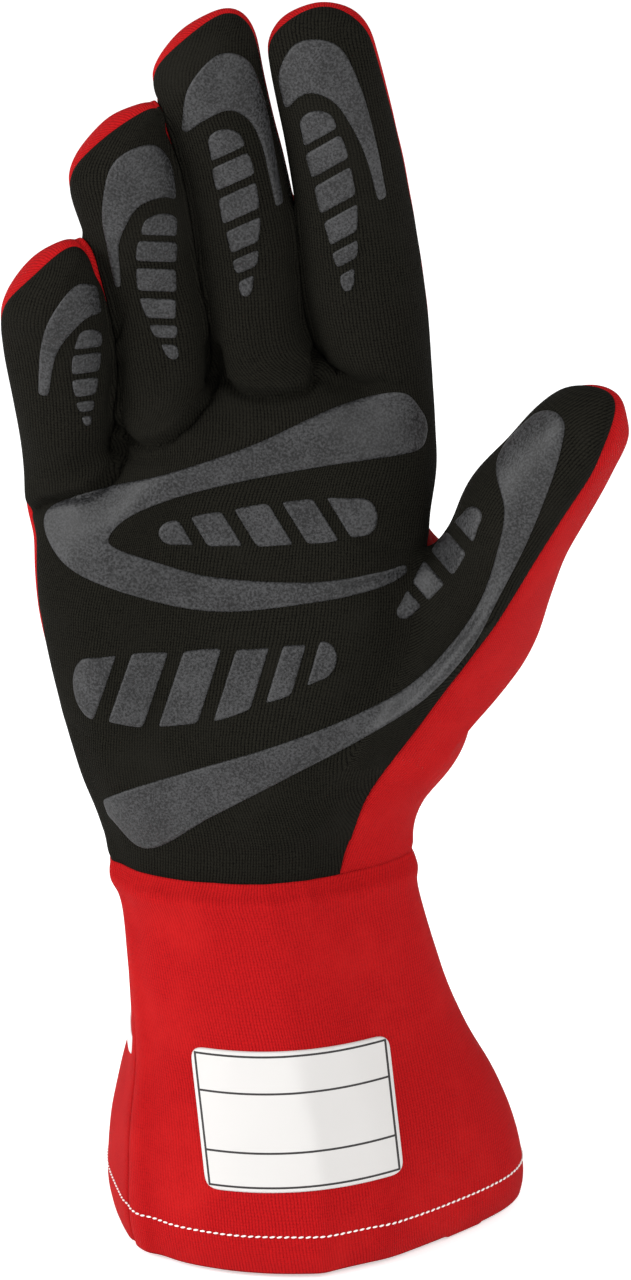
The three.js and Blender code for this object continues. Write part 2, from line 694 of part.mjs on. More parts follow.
// A closed sheet over a grid of places and normals, each with its own lift off the cloth
function shell(name, lines, thick, look) {
  const wide = lines[0].length;
  const positions = [];
  for (const line of lines) {
    for (const { place, normal, lift } of line) {
      const low = place.clone().addScaledVector(normal, lift);
      const top = place.clone().addScaledVector(normal, lift + thick);
      positions.push(low.x, low.y, low.z, top.x, top.y, top.z);
    }
  }
  const triangles = [];
  const at = (i, j) => 2 * (i * wide + j);
  const rim = [];
  for (let i = 0; i < lines.length - 1; i += 1) {
    for (let j = 0; j < wide - 1; j += 1) {
      const [a, b, c, d] = [at(i, j), at(i, j + 1), at(i + 1, j + 1), at(i + 1, j)];
      triangles.push(a + 1, b + 1, c + 1, a + 1, c + 1, d + 1, a, c, b, a, d, c);
    }
  }
  for (let j = 0; j < wide - 1; j += 1) {
    rim.push([at(0, j), at(0, j + 1)]);
    rim.push([at(lines.length - 1, j + 1), at(lines.length - 1, j)]);
  }
  for (let i = 0; i < lines.length - 1; i += 1) {
    rim.push([at(i + 1, 0), at(i, 0)]);
    rim.push([at(i, wide - 1), at(i + 1, wide - 1)]);
  }
  for (const [a, b] of rim) {
    triangles.push(a, b, b + 1, a, b + 1, a + 1);
  }
  const geometry = new THREE.BufferGeometry();
  geometry.setAttribute('position', new THREE.Float32BufferAttribute(positions, 3));
  geometry.setIndex(triangles);
  const solid = faceOut(geometry);
  solid.computeVertexNormals();
  const mesh = new THREE.Mesh(solid, new THREE.MeshStandardMaterial(look));
  mesh.name = name;
  return mesh;
}

// Turns every triangle round when the solid's volume comes out negative
function faceOut(geometry) {
  const p = geometry.getAttribute('position');
  const index = geometry.getIndex();
  const [a, b, c] = [new THREE.Vector3(), new THREE.Vector3(), new THREE.Vector3()];
  let volume = 0;
  for (let i = 0; i < index.count; i += 3) {
    a.fromBufferAttribute(p, index.getX(i));
    b.fromBufferAttribute(p, index.getX(i + 1));
    c.fromBufferAttribute(p, index.getX(i + 2));
    volume += a.dot(b.cross(c));
  }
  if (volume < 0) {
    for (let i = 0; i < index.count; i += 3) {
      const second = index.getX(i + 1);
      index.setX(i + 1, index.getX(i + 2));
      index.setX(i + 2, second);
    }
  }
  return geometry;
}

// Bands: curved strips between two edges, each edge drawn through a few board points
const BANDS = [
  {
    name: 'pad_little_hood', steps: 10, across: 2,
    edges: [
      { outer: [-0.524, 0.852], inner: [-0.512, 0.785] },
      { outer: [-0.577, 0.85], inner: [-0.553, 0.768] },
      { outer: [-0.637, 0.773], inner: [-0.608, 0.708] },
      { outer: [-0.661, 0.696], inner: [-0.628, 0.66] },
      { outer: [-0.666, 0.588], inner: [-0.64, 0.583] },
    ],
  },
  {
    name: 'pad_ring_hood', steps: 10, across: 3,
    edges: [
      { outer: [-0.334, 1.075], inner: [-0.335, 1.055] },
      { outer: [-0.35, 1.152], inner: [-0.366, 1.061] },
      { outer: [-0.397, 1.19], inner: [-0.426, 1.037] },
      { outer: [-0.486, 1.145], inner: [-0.464, 0.972] },
      { outer: [-0.513, 1.032], inner: [-0.472, 0.935] },
      { outer: [-0.5, 0.936], inner: [-0.468, 0.885] },
      { outer: [-0.481, 0.845], inner: [-0.466, 0.845] },
    ],
  },
  {
    name: 'pad_middle_hood', steps: 10, across: 3,
    edges: [
      { outer: [-0.323, 1.224], inner: [-0.311, 1.214] },
      { outer: [-0.306, 1.325], inner: [-0.265, 1.246] },
      { outer: [-0.236, 1.404], inner: [-0.205, 1.27] },
      { outer: [-0.162, 1.392], inner: [-0.157, 1.243] },
      { outer: [-0.124, 1.303], inner: [-0.128, 1.183] },
      { outer: [-0.102, 1.2], inner: [-0.114, 1.123] },
      { outer: [-0.076, 1.049], inner: [-0.095, 1.037] },
    ],
  },
  {
    name: 'pad_index_hood', steps: 10, across: 3,
    edges: [
      { outer: [-0.076, 1.279], inner: [-0.066, 1.274] },
      { outer: [-0.088, 1.363], inner: [-0.037, 1.303] },
      { outer: [-0.042, 1.435], inner: [0.001, 1.31] },
      { outer: [0.052, 1.428], inner: [0.054, 1.279] },
      { outer: [0.107, 1.332], inner: [0.102, 1.2] },
      { outer: [0.145, 1.2], inner: [0.126, 1.14] },
      { outer: [0.172, 1.063], inner: [0.15, 1.051] },
    ],
  },
  {
    name: 'pad_palm_hook', steps: 24, across: 3,
    edges: [
      { outer: [0.256, 0.54], inner: [0.253, 0.466] },
      { outer: [0.203, 0.595], inner: [0.208, 0.444] },
      { outer: [0.059, 0.564], inner: [0.035, 0.418] },
      { outer: [-0.157, 0.466], inner: [-0.145, 0.386] },
      { outer: [-0.361, 0.398], inner: [-0.325, 0.343] },
      { outer: [-0.51, 0.365], inner: [-0.445, 0.295] },
      { outer: [-0.648, 0.307], inner: [-0.496, 0.245] },
      { outer: [-0.608, 0.187], inner: [-0.479, 0.221] },
      { outer: [-0.469, 0.115], inner: [-0.397, 0.192] },
      { outer: [-0.241, 0.067], inner: [-0.241, 0.151] },
      { outer: [0.011, 0.091], inner: [-0.013, 0.139] },
      { outer: [0.155, 0.125], inner: [0.15, 0.163] },
      { outer: [0.222, 0.16], inner: [0.218, 0.184] },
    ],
  },
  {
    name: 'pad_thumb_sweep', steps: 24, across: 3,
    edges: [
      { outer: [-0.512, -0.382], inner: [-0.498, -0.422] },
      { outer: [-0.433, -0.353], inner: [-0.402, -0.502] },
      { outer: [-0.277, -0.307], inner: [-0.248, -0.425] },
      { outer: [-0.097, -0.254], inner: [-0.061, -0.329] },
      { outer: [0.083, -0.185], inner: [0.112, -0.238] },
      { outer: [0.227, -0.106], inner: [0.263, -0.142] },
      { outer: [0.328, -0.005], inner: [0.376, -0.017] },
      { outer: [0.395, 0.096], inner: [0.443, 0.106] },
      { outer: [0.436, 0.216], inner: [0.5, 0.216] },
      { outer: [0.452, 0.312], inner: [0.546, 0.324] },
      { outer: [0.432, 0.408], inner: [0.58, 0.42] },
      { outer: [0.455, 0.473], inner: [0.599, 0.504] },
      { outer: [0.515, 0.54], inner: [0.587, 0.545] },
    ],
  },
];

function edgeCurve(points) {
  return new THREE.CatmullRomCurve3(points.map(([x, up]) => new THREE.Vector3(x, up, 0)));
}

for (const band of BANDS) {
  const outer = edgeCurve(band.edges.map((e) => e.outer));
  const inner = edgeCurve(band.edges.map((e) => e.inner));
  const rows = [];
  for (let i = 0; i <= band.steps; i += 1) {
    const a = outer.getPoint(i / band.steps);
    const b = inner.getPoint(i / band.steps);
    const row = [];
    for (let j = 0; j <= band.across; j += 1) {
      row.push([mix(a.x, b.x, j / band.across), mix(a.y, b.y, j / band.across)]);
    }
    rows.push(row);
  }
  glove.add(layOn(palmPanel, band.name, rows, PAD_THICK, GREY_SILICONE));
}

// Treads: long drops cut into bars. The drop runs from head to foot; wide is its full width,
// shape its width at FULLNESS_AT, bend its sideways bow, slant turns the cuts, cuts are the
// gaps' starts and ends along it. Across is how many patches a bar has over its width.
const FULLNESS_AT = [0.08, 0.25, 0.5, 0.75, 0.92];
const FINGER_DROP = [0.85, 1.0, 0.95, 0.68, 0.36];
const FINGER_CUTS = [[0.15, 0.185], [0.325, 0.368], [0.525, 0.57], [0.71, 0.75], [0.845, 0.885]];
const LITTLE_CUTS = [[0.2, 0.25], [0.455, 0.505], [0.69, 0.735], [0.85, 0.885]];
const TREADS = [
  {
    name: 'pad_little_bar', head: [-0.536, 0.746], foot: [-0.546, 0.511], bend: -0.012,
    wide: 0.07, slant: 10, shape: FINGER_DROP, across: 2, cuts: LITTLE_CUTS,
  },
  {
    name: 'pad_ring_bar', head: [-0.368, 1.024], foot: [-0.337, 0.67], bend: -0.028,
    wide: 0.101, slant: -7, shape: FINGER_DROP, across: 2, cuts: FINGER_CUTS,
  },
  {
    name: 'pad_middle_bar', head: [-0.224, 1.226], foot: [-0.167, 0.821], bend: 0.016,
    wide: 0.101, slant: 16, shape: FINGER_DROP, across: 2, cuts: FINGER_CUTS,
  },
  {
    name: 'pad_index_bar', head: [-0.006, 1.27], foot: [0.078, 0.833], bend: 0.016,
    wide: 0.101, slant: 18, shape: FINGER_DROP, across: 2, cuts: FINGER_CUTS,
  },
  {
    name: 'pad_palm_bar', head: [-0.378, 0.254], foot: [0.15, 0.298], bend: 0,
    wide: 0.11, slant: 27, shape: [0.55, 0.75, 0.95, 1.0, 0.85], across: 3,
    cuts: [[0.127, 0.182], [0.336, 0.393], [0.559, 0.618], [0.766, 0.823]],
  },
  {
    name: 'pad_heel_bar', head: [-0.582, -0.115], foot: [0.052, -0.036], bend: -0.034,
    wide: 0.182, slant: -25, shape: [0.85, 1.0, 0.97, 0.72, 0.52], across: 3,
    cuts: [[0.117, 0.17], [0.309, 0.364], [0.513, 0.57], [0.705, 0.758], [0.856, 0.907]],
  },
  {
    name: 'pad_thumb_bar', head: [0.39, 0.318], foot: [0.2, 0.052], bend: 0.006,
    wide: 0.08, slant: -14, shape: [0.6, 0.9, 1.0, 0.78, 0.5], across: 3,
    cuts: [[0.21, 0.295], [0.49, 0.57], [0.75, 0.81]],
  },
];
const ROUND_END = 0.07;
const BLUNT_END = 0.3;
const BAR_STEPS = 2;
const LONG_BAR = 0.16;

// Half width of a drop at a share of its length, rounded at both ends
function dropHalf(tread, share) {
  const v = THREE.MathUtils.clamp(share, 0, 1);
  let k = 0;
  while (k < FULLNESS_AT.length - 2 && v > FULLNESS_AT[k + 1]) {
    k += 1;
  }
  const part = THREE.MathUtils.clamp((v - FULLNESS_AT[k]) / (FULLNESS_AT[k + 1] - FULLNESS_AT[k]), 0, 1);
  const full = mix(tread.shape[k], tread.shape[k + 1], THREE.MathUtils.smoothstep(part, 0, 1));
  const end = Math.min(v, 1 - v) / ROUND_END;
  const round = end < 1 ? Math.sqrt(Math.max(0, 1 - (1 - end) ** 2)) : 1;
  return 0.5 * tread.wide * full * Math.max(round, BLUNT_END);
}

function barRows(tread, from, to) {
  const [hx, hy] = tread.head;
  const [fx, fy] = tread.foot;
  const length = Math.hypot(fx - hx, fy - hy);
  const along = [(fx - hx) / length, (fy - hy) / length];
  const turn = radians(tread.slant);
  const cross = [-along[1], along[0]];
  const slanted = [
    cross[0] * Math.cos(turn) - cross[1] * Math.sin(turn),
    cross[0] * Math.sin(turn) + cross[1] * Math.cos(turn),
  ];
  const steps = to - from > LONG_BAR ? BAR_STEPS + 1 : BAR_STEPS;
  const rows = [];
  for (let i = 0; i <= steps; i += 1) {
    const v = mix(from, to, i / steps);
    const bow = tread.bend * 4 * v * (1 - v);
    const middle = [hx + (fx - hx) * v + cross[0] * bow, hy + (fy - hy) * v + cross[1] * bow];
    const shift = (Math.sin(turn) * dropHalf(tread, v)) / length;
    const first = dropHalf(tread, v + shift) / Math.cos(turn);
    const last = dropHalf(tread, v - shift) / Math.cos(turn);
    const row = [];
    for (let j = 0; j <= tread.across; j += 1) {
      const reach = mix(-first, last, j / tread.across);
      row.push([middle[0] + slanted[0] * reach, middle[1] + slanted[1] * reach]);
    }
    rows.push(row);
  }
  return rows;
}

for (const tread of TREADS) {
  const starts = [0, ...tread.cuts.map((cut) => cut[1])];
  const ends = [...tread.cuts.map((cut) => cut[0]), 1];
  starts.forEach((start, i) => {
    const rows = barRows(tread, start, ends[i]);
    glove.add(layOn(palmPanel, `${tread.name}_${i + 1}`, rows, PAD_THICK, GREY_SILICONE));
  });
}

// Sewn label on the cuff's front: corners on the board, and how far its middle sags round the arm
const LABEL = {
  topLeft: [-0.301, -0.972], topRight: [0.174, -0.943],
  bottomRight: [0.212, -1.277], bottomLeft: [-0.263, -1.315],
  sag: 0.028, steps: 8, across: 4,
};
const labelRows = [];
for (let i = 0; i <= LABEL.steps; i += 1) {
  const t = i / LABEL.steps;
  const droop = LABEL.sag * 4 * t * (1 - t);
  const top = between(LABEL.topLeft, LABEL.topRight, t);
  const bottom = between(LABEL.bottomLeft, LABEL.bottomRight, t);
  const row = [];
  for (let j = 0; j <= LABEL.across; j += 1) {
    const [x, up] = between(top, bottom, j / LABEL.across);
    row.push([x, up - droop]);
  }
  labelRows.push(row);
}
glove.add(layOn(cuffFront, 'label', labelRows, LABEL_THICK, WHITE_CLOTH));

// White stripe round the cuff's back, from the little finger's side seam to the thumb's side.
// Low and high are shares of the cuff's height, middle a share of the palm's width. Angles are in
// degrees round the cuff, 0 toward the thumb's side and 90 toward the palm.
const STRIPE = { middle: -0.05, low: 0.468, high: 0.516, from: 167, to: 328, steps: 26 };
const stripeLines = [];
for (let i = 0; i <= STRIPE.steps; i += 1) {
  const angle = radians(mix(STRIPE.from, STRIPE.to, i / STRIPE.steps));
  const outward = new THREE.Vector3(Math.cos(angle), -Math.sin(angle), 0);
  stripeLines.push([STRIPE.low, STRIPE.high].map((share) => {
    const start = new THREE.Vector3(STRIPE.middle * PALM_WIDTH, 0, share * CUFF_HEIGHT);
    start.addScaledVector(outward, HEM_WIDTH);
    finder.set(start, outward.clone().negate());
    const hit = finder.intersectObject(cuffBack)[0];
    return { place: hit.point, normal: hit.normal, lift: STRIPE_LIFT };
  }));
}
glove.add(shell('cuff_stripe', stripeLines, STRIPE_THICK, WHITE_CLOTH));

export default glove;
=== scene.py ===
import math

import bmesh
import bpy
import numpy as np
from mathutils import Matrix, Vector, interpolate, noise
from mathutils.bvhtree import BVHTree
from mathutils.geometry import delaunay_2d_cdt
from mathutils.kdtree import KDTree


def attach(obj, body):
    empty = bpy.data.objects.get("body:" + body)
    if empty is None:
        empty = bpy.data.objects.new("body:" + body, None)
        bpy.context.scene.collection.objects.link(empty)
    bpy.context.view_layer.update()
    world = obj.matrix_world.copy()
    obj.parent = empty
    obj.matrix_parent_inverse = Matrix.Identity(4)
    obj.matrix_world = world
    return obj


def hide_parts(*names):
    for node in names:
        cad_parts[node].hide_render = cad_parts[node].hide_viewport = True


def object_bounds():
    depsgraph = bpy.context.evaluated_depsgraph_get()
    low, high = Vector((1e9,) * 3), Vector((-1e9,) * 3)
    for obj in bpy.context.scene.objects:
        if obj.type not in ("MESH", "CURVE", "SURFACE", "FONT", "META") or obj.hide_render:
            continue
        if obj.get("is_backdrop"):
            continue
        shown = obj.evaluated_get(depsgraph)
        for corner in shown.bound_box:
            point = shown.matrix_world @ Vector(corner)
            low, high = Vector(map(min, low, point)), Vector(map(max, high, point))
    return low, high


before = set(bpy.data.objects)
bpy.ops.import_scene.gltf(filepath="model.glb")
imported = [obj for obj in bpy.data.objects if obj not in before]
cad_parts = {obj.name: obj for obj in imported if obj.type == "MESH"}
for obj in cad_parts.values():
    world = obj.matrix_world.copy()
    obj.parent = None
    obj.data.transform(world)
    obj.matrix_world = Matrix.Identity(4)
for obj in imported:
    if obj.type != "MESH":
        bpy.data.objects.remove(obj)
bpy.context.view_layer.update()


# The glove's form. One smooth skin gives the knit hand and the gauntlet cuff their worn shape:
# rings round the arm, wrist and palm, and a tube of sections for each finger and the thumb.
# The cloth panels below are cut from it along the side seams and the wrist seam.
PALM_WIDTH = 0.100
PALM_LENGTH = 0.125
CUFF_HEIGHT = 0.095
HEM_WIDTH = 0.1066
HEM_DEPTH = 0.092
FINGER_LENGTH = 0.0935
FINGER_WIDTH = 0.025
THUMB_WIDTH = 0.030

# Columns round the hand: the face they lie on (1 palm, -1 back, 0 side), their place across it, and
# how high the finger roots stand there
COLUMNS = [
    ("side", 0, -1.00, 0.745), ("edge", 1, -0.92, 0.750), ("little", 1, -0.77, 0.790),
    ("cleft", 1, -0.55, 0.830), ("ring", 1, -0.33, 0.900), ("cleft", 1, -0.10, 0.965),
    ("middle", 1, 0.16, 0.985), ("cleft", 1, 0.42, 1.000), ("index", 1, 0.71, 0.940),
    ("edge", 1, 0.93, 0.890), ("side", 0, 1.00, 0.865), ("edge", -1, 0.93, 0.880),
    ("index", -1, 0.71, 0.930), ("cleft", -1, 0.42, 0.955), ("middle", -1, 0.16, 0.945),
    ("cleft", -1, -0.10, 0.920), ("ring", -1, -0.33, 0.870), ("cleft", -1, -0.55, 0.790),
    ("little", -1, -0.77, 0.750), ("edge", -1, -0.92, 0.735),
]
SIDES = len(COLUMNS)
PALM_SIDE = 10
CUFF_SIDE = 12
THUMB_SEAM = 52

# Rows of the hand, wrist seam to finger roots: rise, left, right, front, back, squareness of the
# oval, the same at the thumb's quarter, hollow of the palm, and the turn of the two side seams
HAND_ROWS = [
    (0.0, -0.52, 0.246, -0.24, 0.26, 2.1, 1.5, 0, 8, THUMB_SEAM),
    (0.12, -0.542, 0.27, -0.25, 0.25, 2.1, 1.7, 0.01, 8, 51),
    (0.28, -0.589, 0.378, -0.265, 0.22, 2.3, 2.2, 0.035, 7, 56),
    (0.52, -0.643, 0.35, -0.25, 0.195, 2.5, 2.5, 0.05, 6, 30),
    (0.752, -0.681, 0.283, -0.215, 0.17, 2.6, 2.6, 0.03, 7, 10),
    (0.89, -0.683, 0.292, -0.195, 0.15, 2.6, 2.6, 0, 8, 2),
    (1.0, -0.703, 0.292, -0.15, 0.115, 2.4, 2.4, 0, 6, 0),
]
THUMB_ROW_LOW = 2
CLEFT_DEPTH = 0.045
CLEFT_SADDLE = 0.0005
HOLLOW_REACH = 0.75

# Rows of the cuff, wrist seam to hem: drop, left, right, front, back, thumb's quarter, seam turn
CUFF_ROWS = [
    (0.05, -0.503, 0.248, -0.263, 0.273, 1.5, 8),
    (0.12, -0.483, 0.257, -0.273, 0.283, 1.45, 9),
    (0.25, -0.466, 0.286, -0.296, 0.306, 1.4, 12),
    (0.48, -0.457, 0.354, -0.348, 0.364, 1.35, 19),
    (0.66, -0.481, 0.44, -0.407, 0.422, 1.35, 25),
    (0.88, -0.499, 0.495, -0.48, 0.478, 1.36, 30),
    (1.0, -0.486, 0.49, -0.478, 0.492, 1.25, 32),
]
CUFF_SQUARE = 2.4

# Fingers: the columns of their clefts, how far the left and right seams are tucked back between two
# fingers, root and tip, and sections with along, aside, half width, half depth, seam turn and slant
FINGERS = [
    ((0, 3), (0, 7), (-0.592, -0.02, 0.784), (-0.582, -0.2, 0.652), [
        (0.2, -0.042, 0.446, 0.46, 0, -8), (0.4, -0.057, 0.515, 0.44, 5, -3),
        (0.62, -0.124, 0.527, 0.43, 10, -5), (0.8, -0.171, 0.482, 0.39, 14, -12),
        (0.93, -0.087, 0.32, 0.28, 22, -20)]),
    ((3, 5), (0, 7), (-0.362, -0.02, 0.888), (-0.395, -0.21, 0.866), [
        (0.16, 0.012, 0.444, 0.46, 0, -12), (0.36, -0.032, 0.465, 0.45, 0, -2),
        (0.56, -0.133, 0.497, 0.44, 2, -3), (0.76, -0.242, 0.535, 0.43, 8, -8),
        (0.88, -0.272, 0.468, 0.36, 16, -14), (0.96, -0.143, 0.317, 0.25, 22, -18)]),
    ((5, 7), (0, 5), (-0.122, -0.02, 0.968), (-0.222, -0.22, 1), [
        (0.12, -0.015, 0.46, 0.47, 0, -5), (0.32, -0.014, 0.492, 0.46, 0, 0),
        (0.53, -0.034, 0.494, 0.45, 2, -3), (0.74, -0.125, 0.497, 0.43, 8, -7),
        (0.88, -0.188, 0.537, 0.37, 14, -9), (0.96, -0.097, 0.367, 0.26, 20, -12)]),
    ((7, 10), (4, 0), (0.148, -0.02, 0.904), (0.008, -0.23, 1.107), [
        (0.15, 0.08, 0.522, 0.48, 0, 8), (0.32, 0.05, 0.583, 0.48, 0, 2),
        (0.53, 0.055, 0.549, 0.46, 2, -2), (0.74, 0.013, 0.526, 0.44, 5, -3),
        (0.88, -0.03, 0.531, 0.38, 16, -2), (0.96, -0.044, 0.439, 0.27, 24, 0)]),
]

# Thumb: across, forward, rise, half width, half depth, lean, roll and seam turn of each section
THUMB_SECTIONS = [
    (0.407, -0.11, 0.538, 0.72, 0.593, 27, 26, 55),
    (0.473, -0.165, 0.698, 0.545, 0.533, 42, 32, 30),
    (0.556, -0.22, 0.824, 0.445, 0.46, 54, 36, 23),
    (0.612, -0.262, 0.904, 0.393, 0.4, 55, 38, 18),
    (0.66, -0.3, 0.96, 0.317, 0.307, 55, 40, 24),
]
THUMB_TIP = (0.702, -0.33, 1.004)

PALM, BACK, CUFF_FRONT, CUFF_BACK = range(4)
net_points = []
net_faces = []
net_panels = []
net_grain = []


def mix(a, b, t):
    return a + (b - a) * t


def add_point(place):
    net_points.append(np.array(place, float))
    return len(net_points) - 1


def add_face(panel, corners, grain):
    net_faces.append(corners)
    net_panels.append(panel)
    net_grain.append(grain)


def on_oval(row, degrees, wide, deep):
    left, right, front, back, square, thumb_square = row
    c, s = math.cos(math.radians(degrees)), math.sin(math.radians(degrees))
    power = 2 / (thumb_square if s > 0 and c > 0 else square)
    x = (left + right) / 2 + (right - left) / 2 * math.copysign(abs(c) ** power, c)
    y = (front + back) / 2 - (back - front) / 2 * math.copysign(abs(s) ** power, s)
    return x * wide, y * deep


def column_angle(face, across, seam_left, seam_right):
    round_share = math.acos(across) / math.pi
    end = -180 - seam_left if face < 0 else 180 - seam_left
    return mix(seam_right, end, round_share)


hand_rings = []
for rise, left, right, front, back, square, thumb_square, hollow, seam_left, seam_right in HAND_ROWS:
    ring = []
    for name, face, across, crown in COLUMNS:
        angle = column_angle(face, across, seam_left, seam_right)
        x, y = on_oval((left, right, front, back, square, thumb_square), angle, PALM_WIDTH, PALM_WIDTH)
        if face > 0 and hollow:
            y += hollow * PALM_WIDTH * max(0, 1 - (across / HOLLOW_REACH) ** 2) ** 1.5
        if rise == 1 and name == "cleft":
            y += CLEFT_DEPTH * PALM_WIDTH * face
        ring.append(add_point((x, y, CUFF_HEIGHT + PALM_LENGTH * crown * rise)))
    hand_rings.append(ring)

cuff_rings = [hand_rings[0]]
for drop, left, right, front, back, thumb_square, seam_left in CUFF_ROWS:
    wide, deep = mix(PALM_WIDTH, HEM_WIDTH, drop), mix(PALM_WIDTH, HEM_DEPTH, drop)
    ring = []
    for _, face, across, _ in COLUMNS:
        angle = column_angle(face, across, seam_left, THUMB_SEAM)
        x, y = on_oval((left, right, front, back, CUFF_SQUARE, thumb_square), angle, wide, deep)
        ring.append(add_point((x, y, CUFF_HEIGHT * (1 - drop))))
    cuff_rings.append(ring)


# The knit's grain: how far round from the middle of its face, and how high up, each point lies
def girths(ids, middle):
    at = [0.0] * len(ids)
    for i in range(middle + 1, len(ids)):
        at[i] = at[i - 1] + np.linalg.norm(net_points[ids[i]] - net_points[ids[i - 1]])
    for i in range(middle - 1, -1, -1):
        at[i] = at[i + 1] - np.linalg.norm(net_points[ids[i]] - net_points[ids[i + 1]])
    return at


def grain_round(ring, split):
    first = girths(ring[:split + 1], 5)
    second = girths(ring[split:] + ring[:1], 5)
    return first, second


def lay_bands(rings, split, panels, left_out=()):
    grains = [grain_round(ring, split) for ring in rings]
    for r in range(len(rings) - 1):
        for c in range(SIDES):
            if (r, c) in left_out:
                continue
            following = (c + 1) % SIDES
            half, start = (0, 0) if c < split else (1, split)
            corners = [rings[r][c], rings[r][following], rings[r + 1][following], rings[r + 1][c]]
            spots = [(r, c), (r, c + 1), (r + 1, c + 1), (r + 1, c)]
            grain = []
            for corner, (i, j) in zip(corners, spots):
                grain.append((grains[i][half][j - start], net_points[corner][2]))
            add_face(panels[half], corners, grain)


thumb_patch = {(r, c) for r in (THUMB_ROW_LOW, THUMB_ROW_LOW + 1) for c in (PALM_SIDE - 1, PALM_SIDE)}
lay_bands(hand_rings, PALM_SIDE, (PALM, BACK), thumb_patch)
lay_bands(cuff_rings[::-1], CUFF_SIDE, (CUFF_FRONT, CUFF_BACK))


# A tube of eight-point rings closed by a tip: points 0 to 4 face the palm, 4 to 8 the back
def add_tube(root_ring, rings, tip, girth_start):
    grains = []
    for ring in [root_ring] + rings:
        grains.append((girths(ring[:5], 2), girths(ring[4:] + ring[:1], 2)))

    def add_tube_face(half, corners, turns):
        grain = [(girth_start + u, net_points[k][2]) for u, k in zip(turns, corners)]
        add_face(half, corners, grain)

    below = root_ring
    for level, ring in enumerate(rings):
        for i in range(8):
            half, j = (0, i) if i < 4 else (1, i - 4)
            corners = [below[i], below[(i + 1) % 8], ring[(i + 1) % 8], ring[i]]
            turns = grains[level][half][j:j + 2] + grains[level + 1][half][j:j + 2][::-1]
            add_tube_face(half, corners, turns)
        below = ring
    for i in range(0, 8, 2):
        half, j = (0, i) if i < 4 else (1, i - 4)
        corners = [below[i], below[i + 1], below[(i + 2) % 8], tip]
        add_tube_face(half, corners, grains[-1][half][j:j + 3] + [0])


def section_ring(centre, side, palmward, half, deep, seam_left, seam_right):
    turns = [180 - seam_left, 135, 90, (90 + seam_right) / 2, seam_right, -45, -90, -135]
    ring = []
    for degrees in turns:
        c, s = math.cos(math.radians(degrees)), math.sin(math.radians(degrees))
        ring.append(add_point(centre + side * (c * half) + palmward * (s * deep)))
    return ring


def to_place(across, forward, rise):
    return Vector((across * PALM_WIDTH, forward * PALM_WIDTH, CUFF_HEIGHT + rise * PALM_LENGTH))


top_ring = hand_rings[-1]
cleft_middles = {}
for front, back in ((3, 17), (5, 15), (7, 13)):
    a, b = net_points[top_ring[front]], net_points[top_ring[back]]
    cleft_middles[front] = add_point((*((a + b) / 2)[:2], a[2] + CLEFT_SADDLE))


def root_ring_of(low, high):
    left = top_ring[0] if low == 0 else cleft_middles[low]
    right = top_ring[PALM_SIDE] if high == PALM_SIDE else cleft_middles[high]
    left_edge = 1 if low == 0 else low
    right_edge = PALM_SIDE - 1 if high == PALM_SIDE else high
    ridge = right_edge - 1
    return [left, top_ring[left_edge], top_ring[ridge], top_ring[right_edge], right,
            top_ring[SIDES - right_edge], top_ring[SIDES - ridge], top_ring[SIDES - left_edge]]


top_girth = girths(top_ring[:PALM_SIDE + 1], 5)
for (low, high), (tuck_left, tuck_right), root_share, tip_share, sections in FINGERS:
    root = to_place(*root_share)
    tip = to_place(*tip_share)
    tip.z = root.z + tip_share[2] * FINGER_LENGTH
    drop = tip.y - root.y
    axis = Vector((tip.x - root.x, 0, tip.z - root.z))
    across = Vector((axis.z, 0, -axis.x)).normalized()
    rings = []
    for along, aside, half, deep, seam, slant in sections:
        centre = root + axis * along + across * (aside * FINGER_WIDTH)
        centre.y += drop * along ** 1.5
        lengthwise = Vector((axis.x, drop * 1.5 * along ** 0.5, axis.z)).normalized()
        side = Matrix.Rotation(math.radians(slant), 3, "Y") @ across
        palmward = -side.cross(lengthwise).normalized()
        if palmward.y > 0:
            palmward.negate()
        rings.append(section_ring(centre, side, palmward, half * FINGER_WIDTH, deep * FINGER_WIDTH,
                                  seam - tuck_left, seam - tuck_right))
    ridge = (PALM_SIDE - 1 if high == PALM_SIDE else high) - 1
    add_tube(root_ring_of(low, high), rings, add_point(tip), top_girth[ridge])

low, waist, high = (hand_rings[THUMB_ROW_LOW + i] for i in range(3))
thumb_root = [high[10], high[9], waist[9], low[9], low[10], low[11], waist[11], high[11]]
thumb_centres = [to_place(*section[:3]) for section in THUMB_SECTIONS]
thumb_tip = to_place(*THUMB_TIP)
thumb_rings = []
for i, (_, _, _, half, deep, lean, roll, seam) in enumerate(THUMB_SECTIONS):
    ahead = (thumb_centres + [thumb_tip])[i + 1]
    step = ahead - thumb_centres[i]
    lean = math.radians(lean)
    along = Vector((math.cos(lean), step.y / step.length, math.sin(lean))).normalized()
    level = Vector((math.sin(lean), 0, -math.cos(lean)))
    palmward = level.cross(along).normalized()
    if palmward.y > 0:
        palmward.negate()
    turned = Matrix.Rotation(math.radians(roll), 3, along)
    if (turned @ level).y > 0:
        turned = Matrix.Rotation(-math.radians(roll), 3, along)
    thumb_rings.append(section_ring(thumb_centres[i], turned @ level, turned @ palmward,
                                    half * THUMB_WIDTH, deep * THUMB_WIDTH, 0, seam))
add_tube(thumb_root, thumb_rings, add_point(thumb_tip), 0.0)


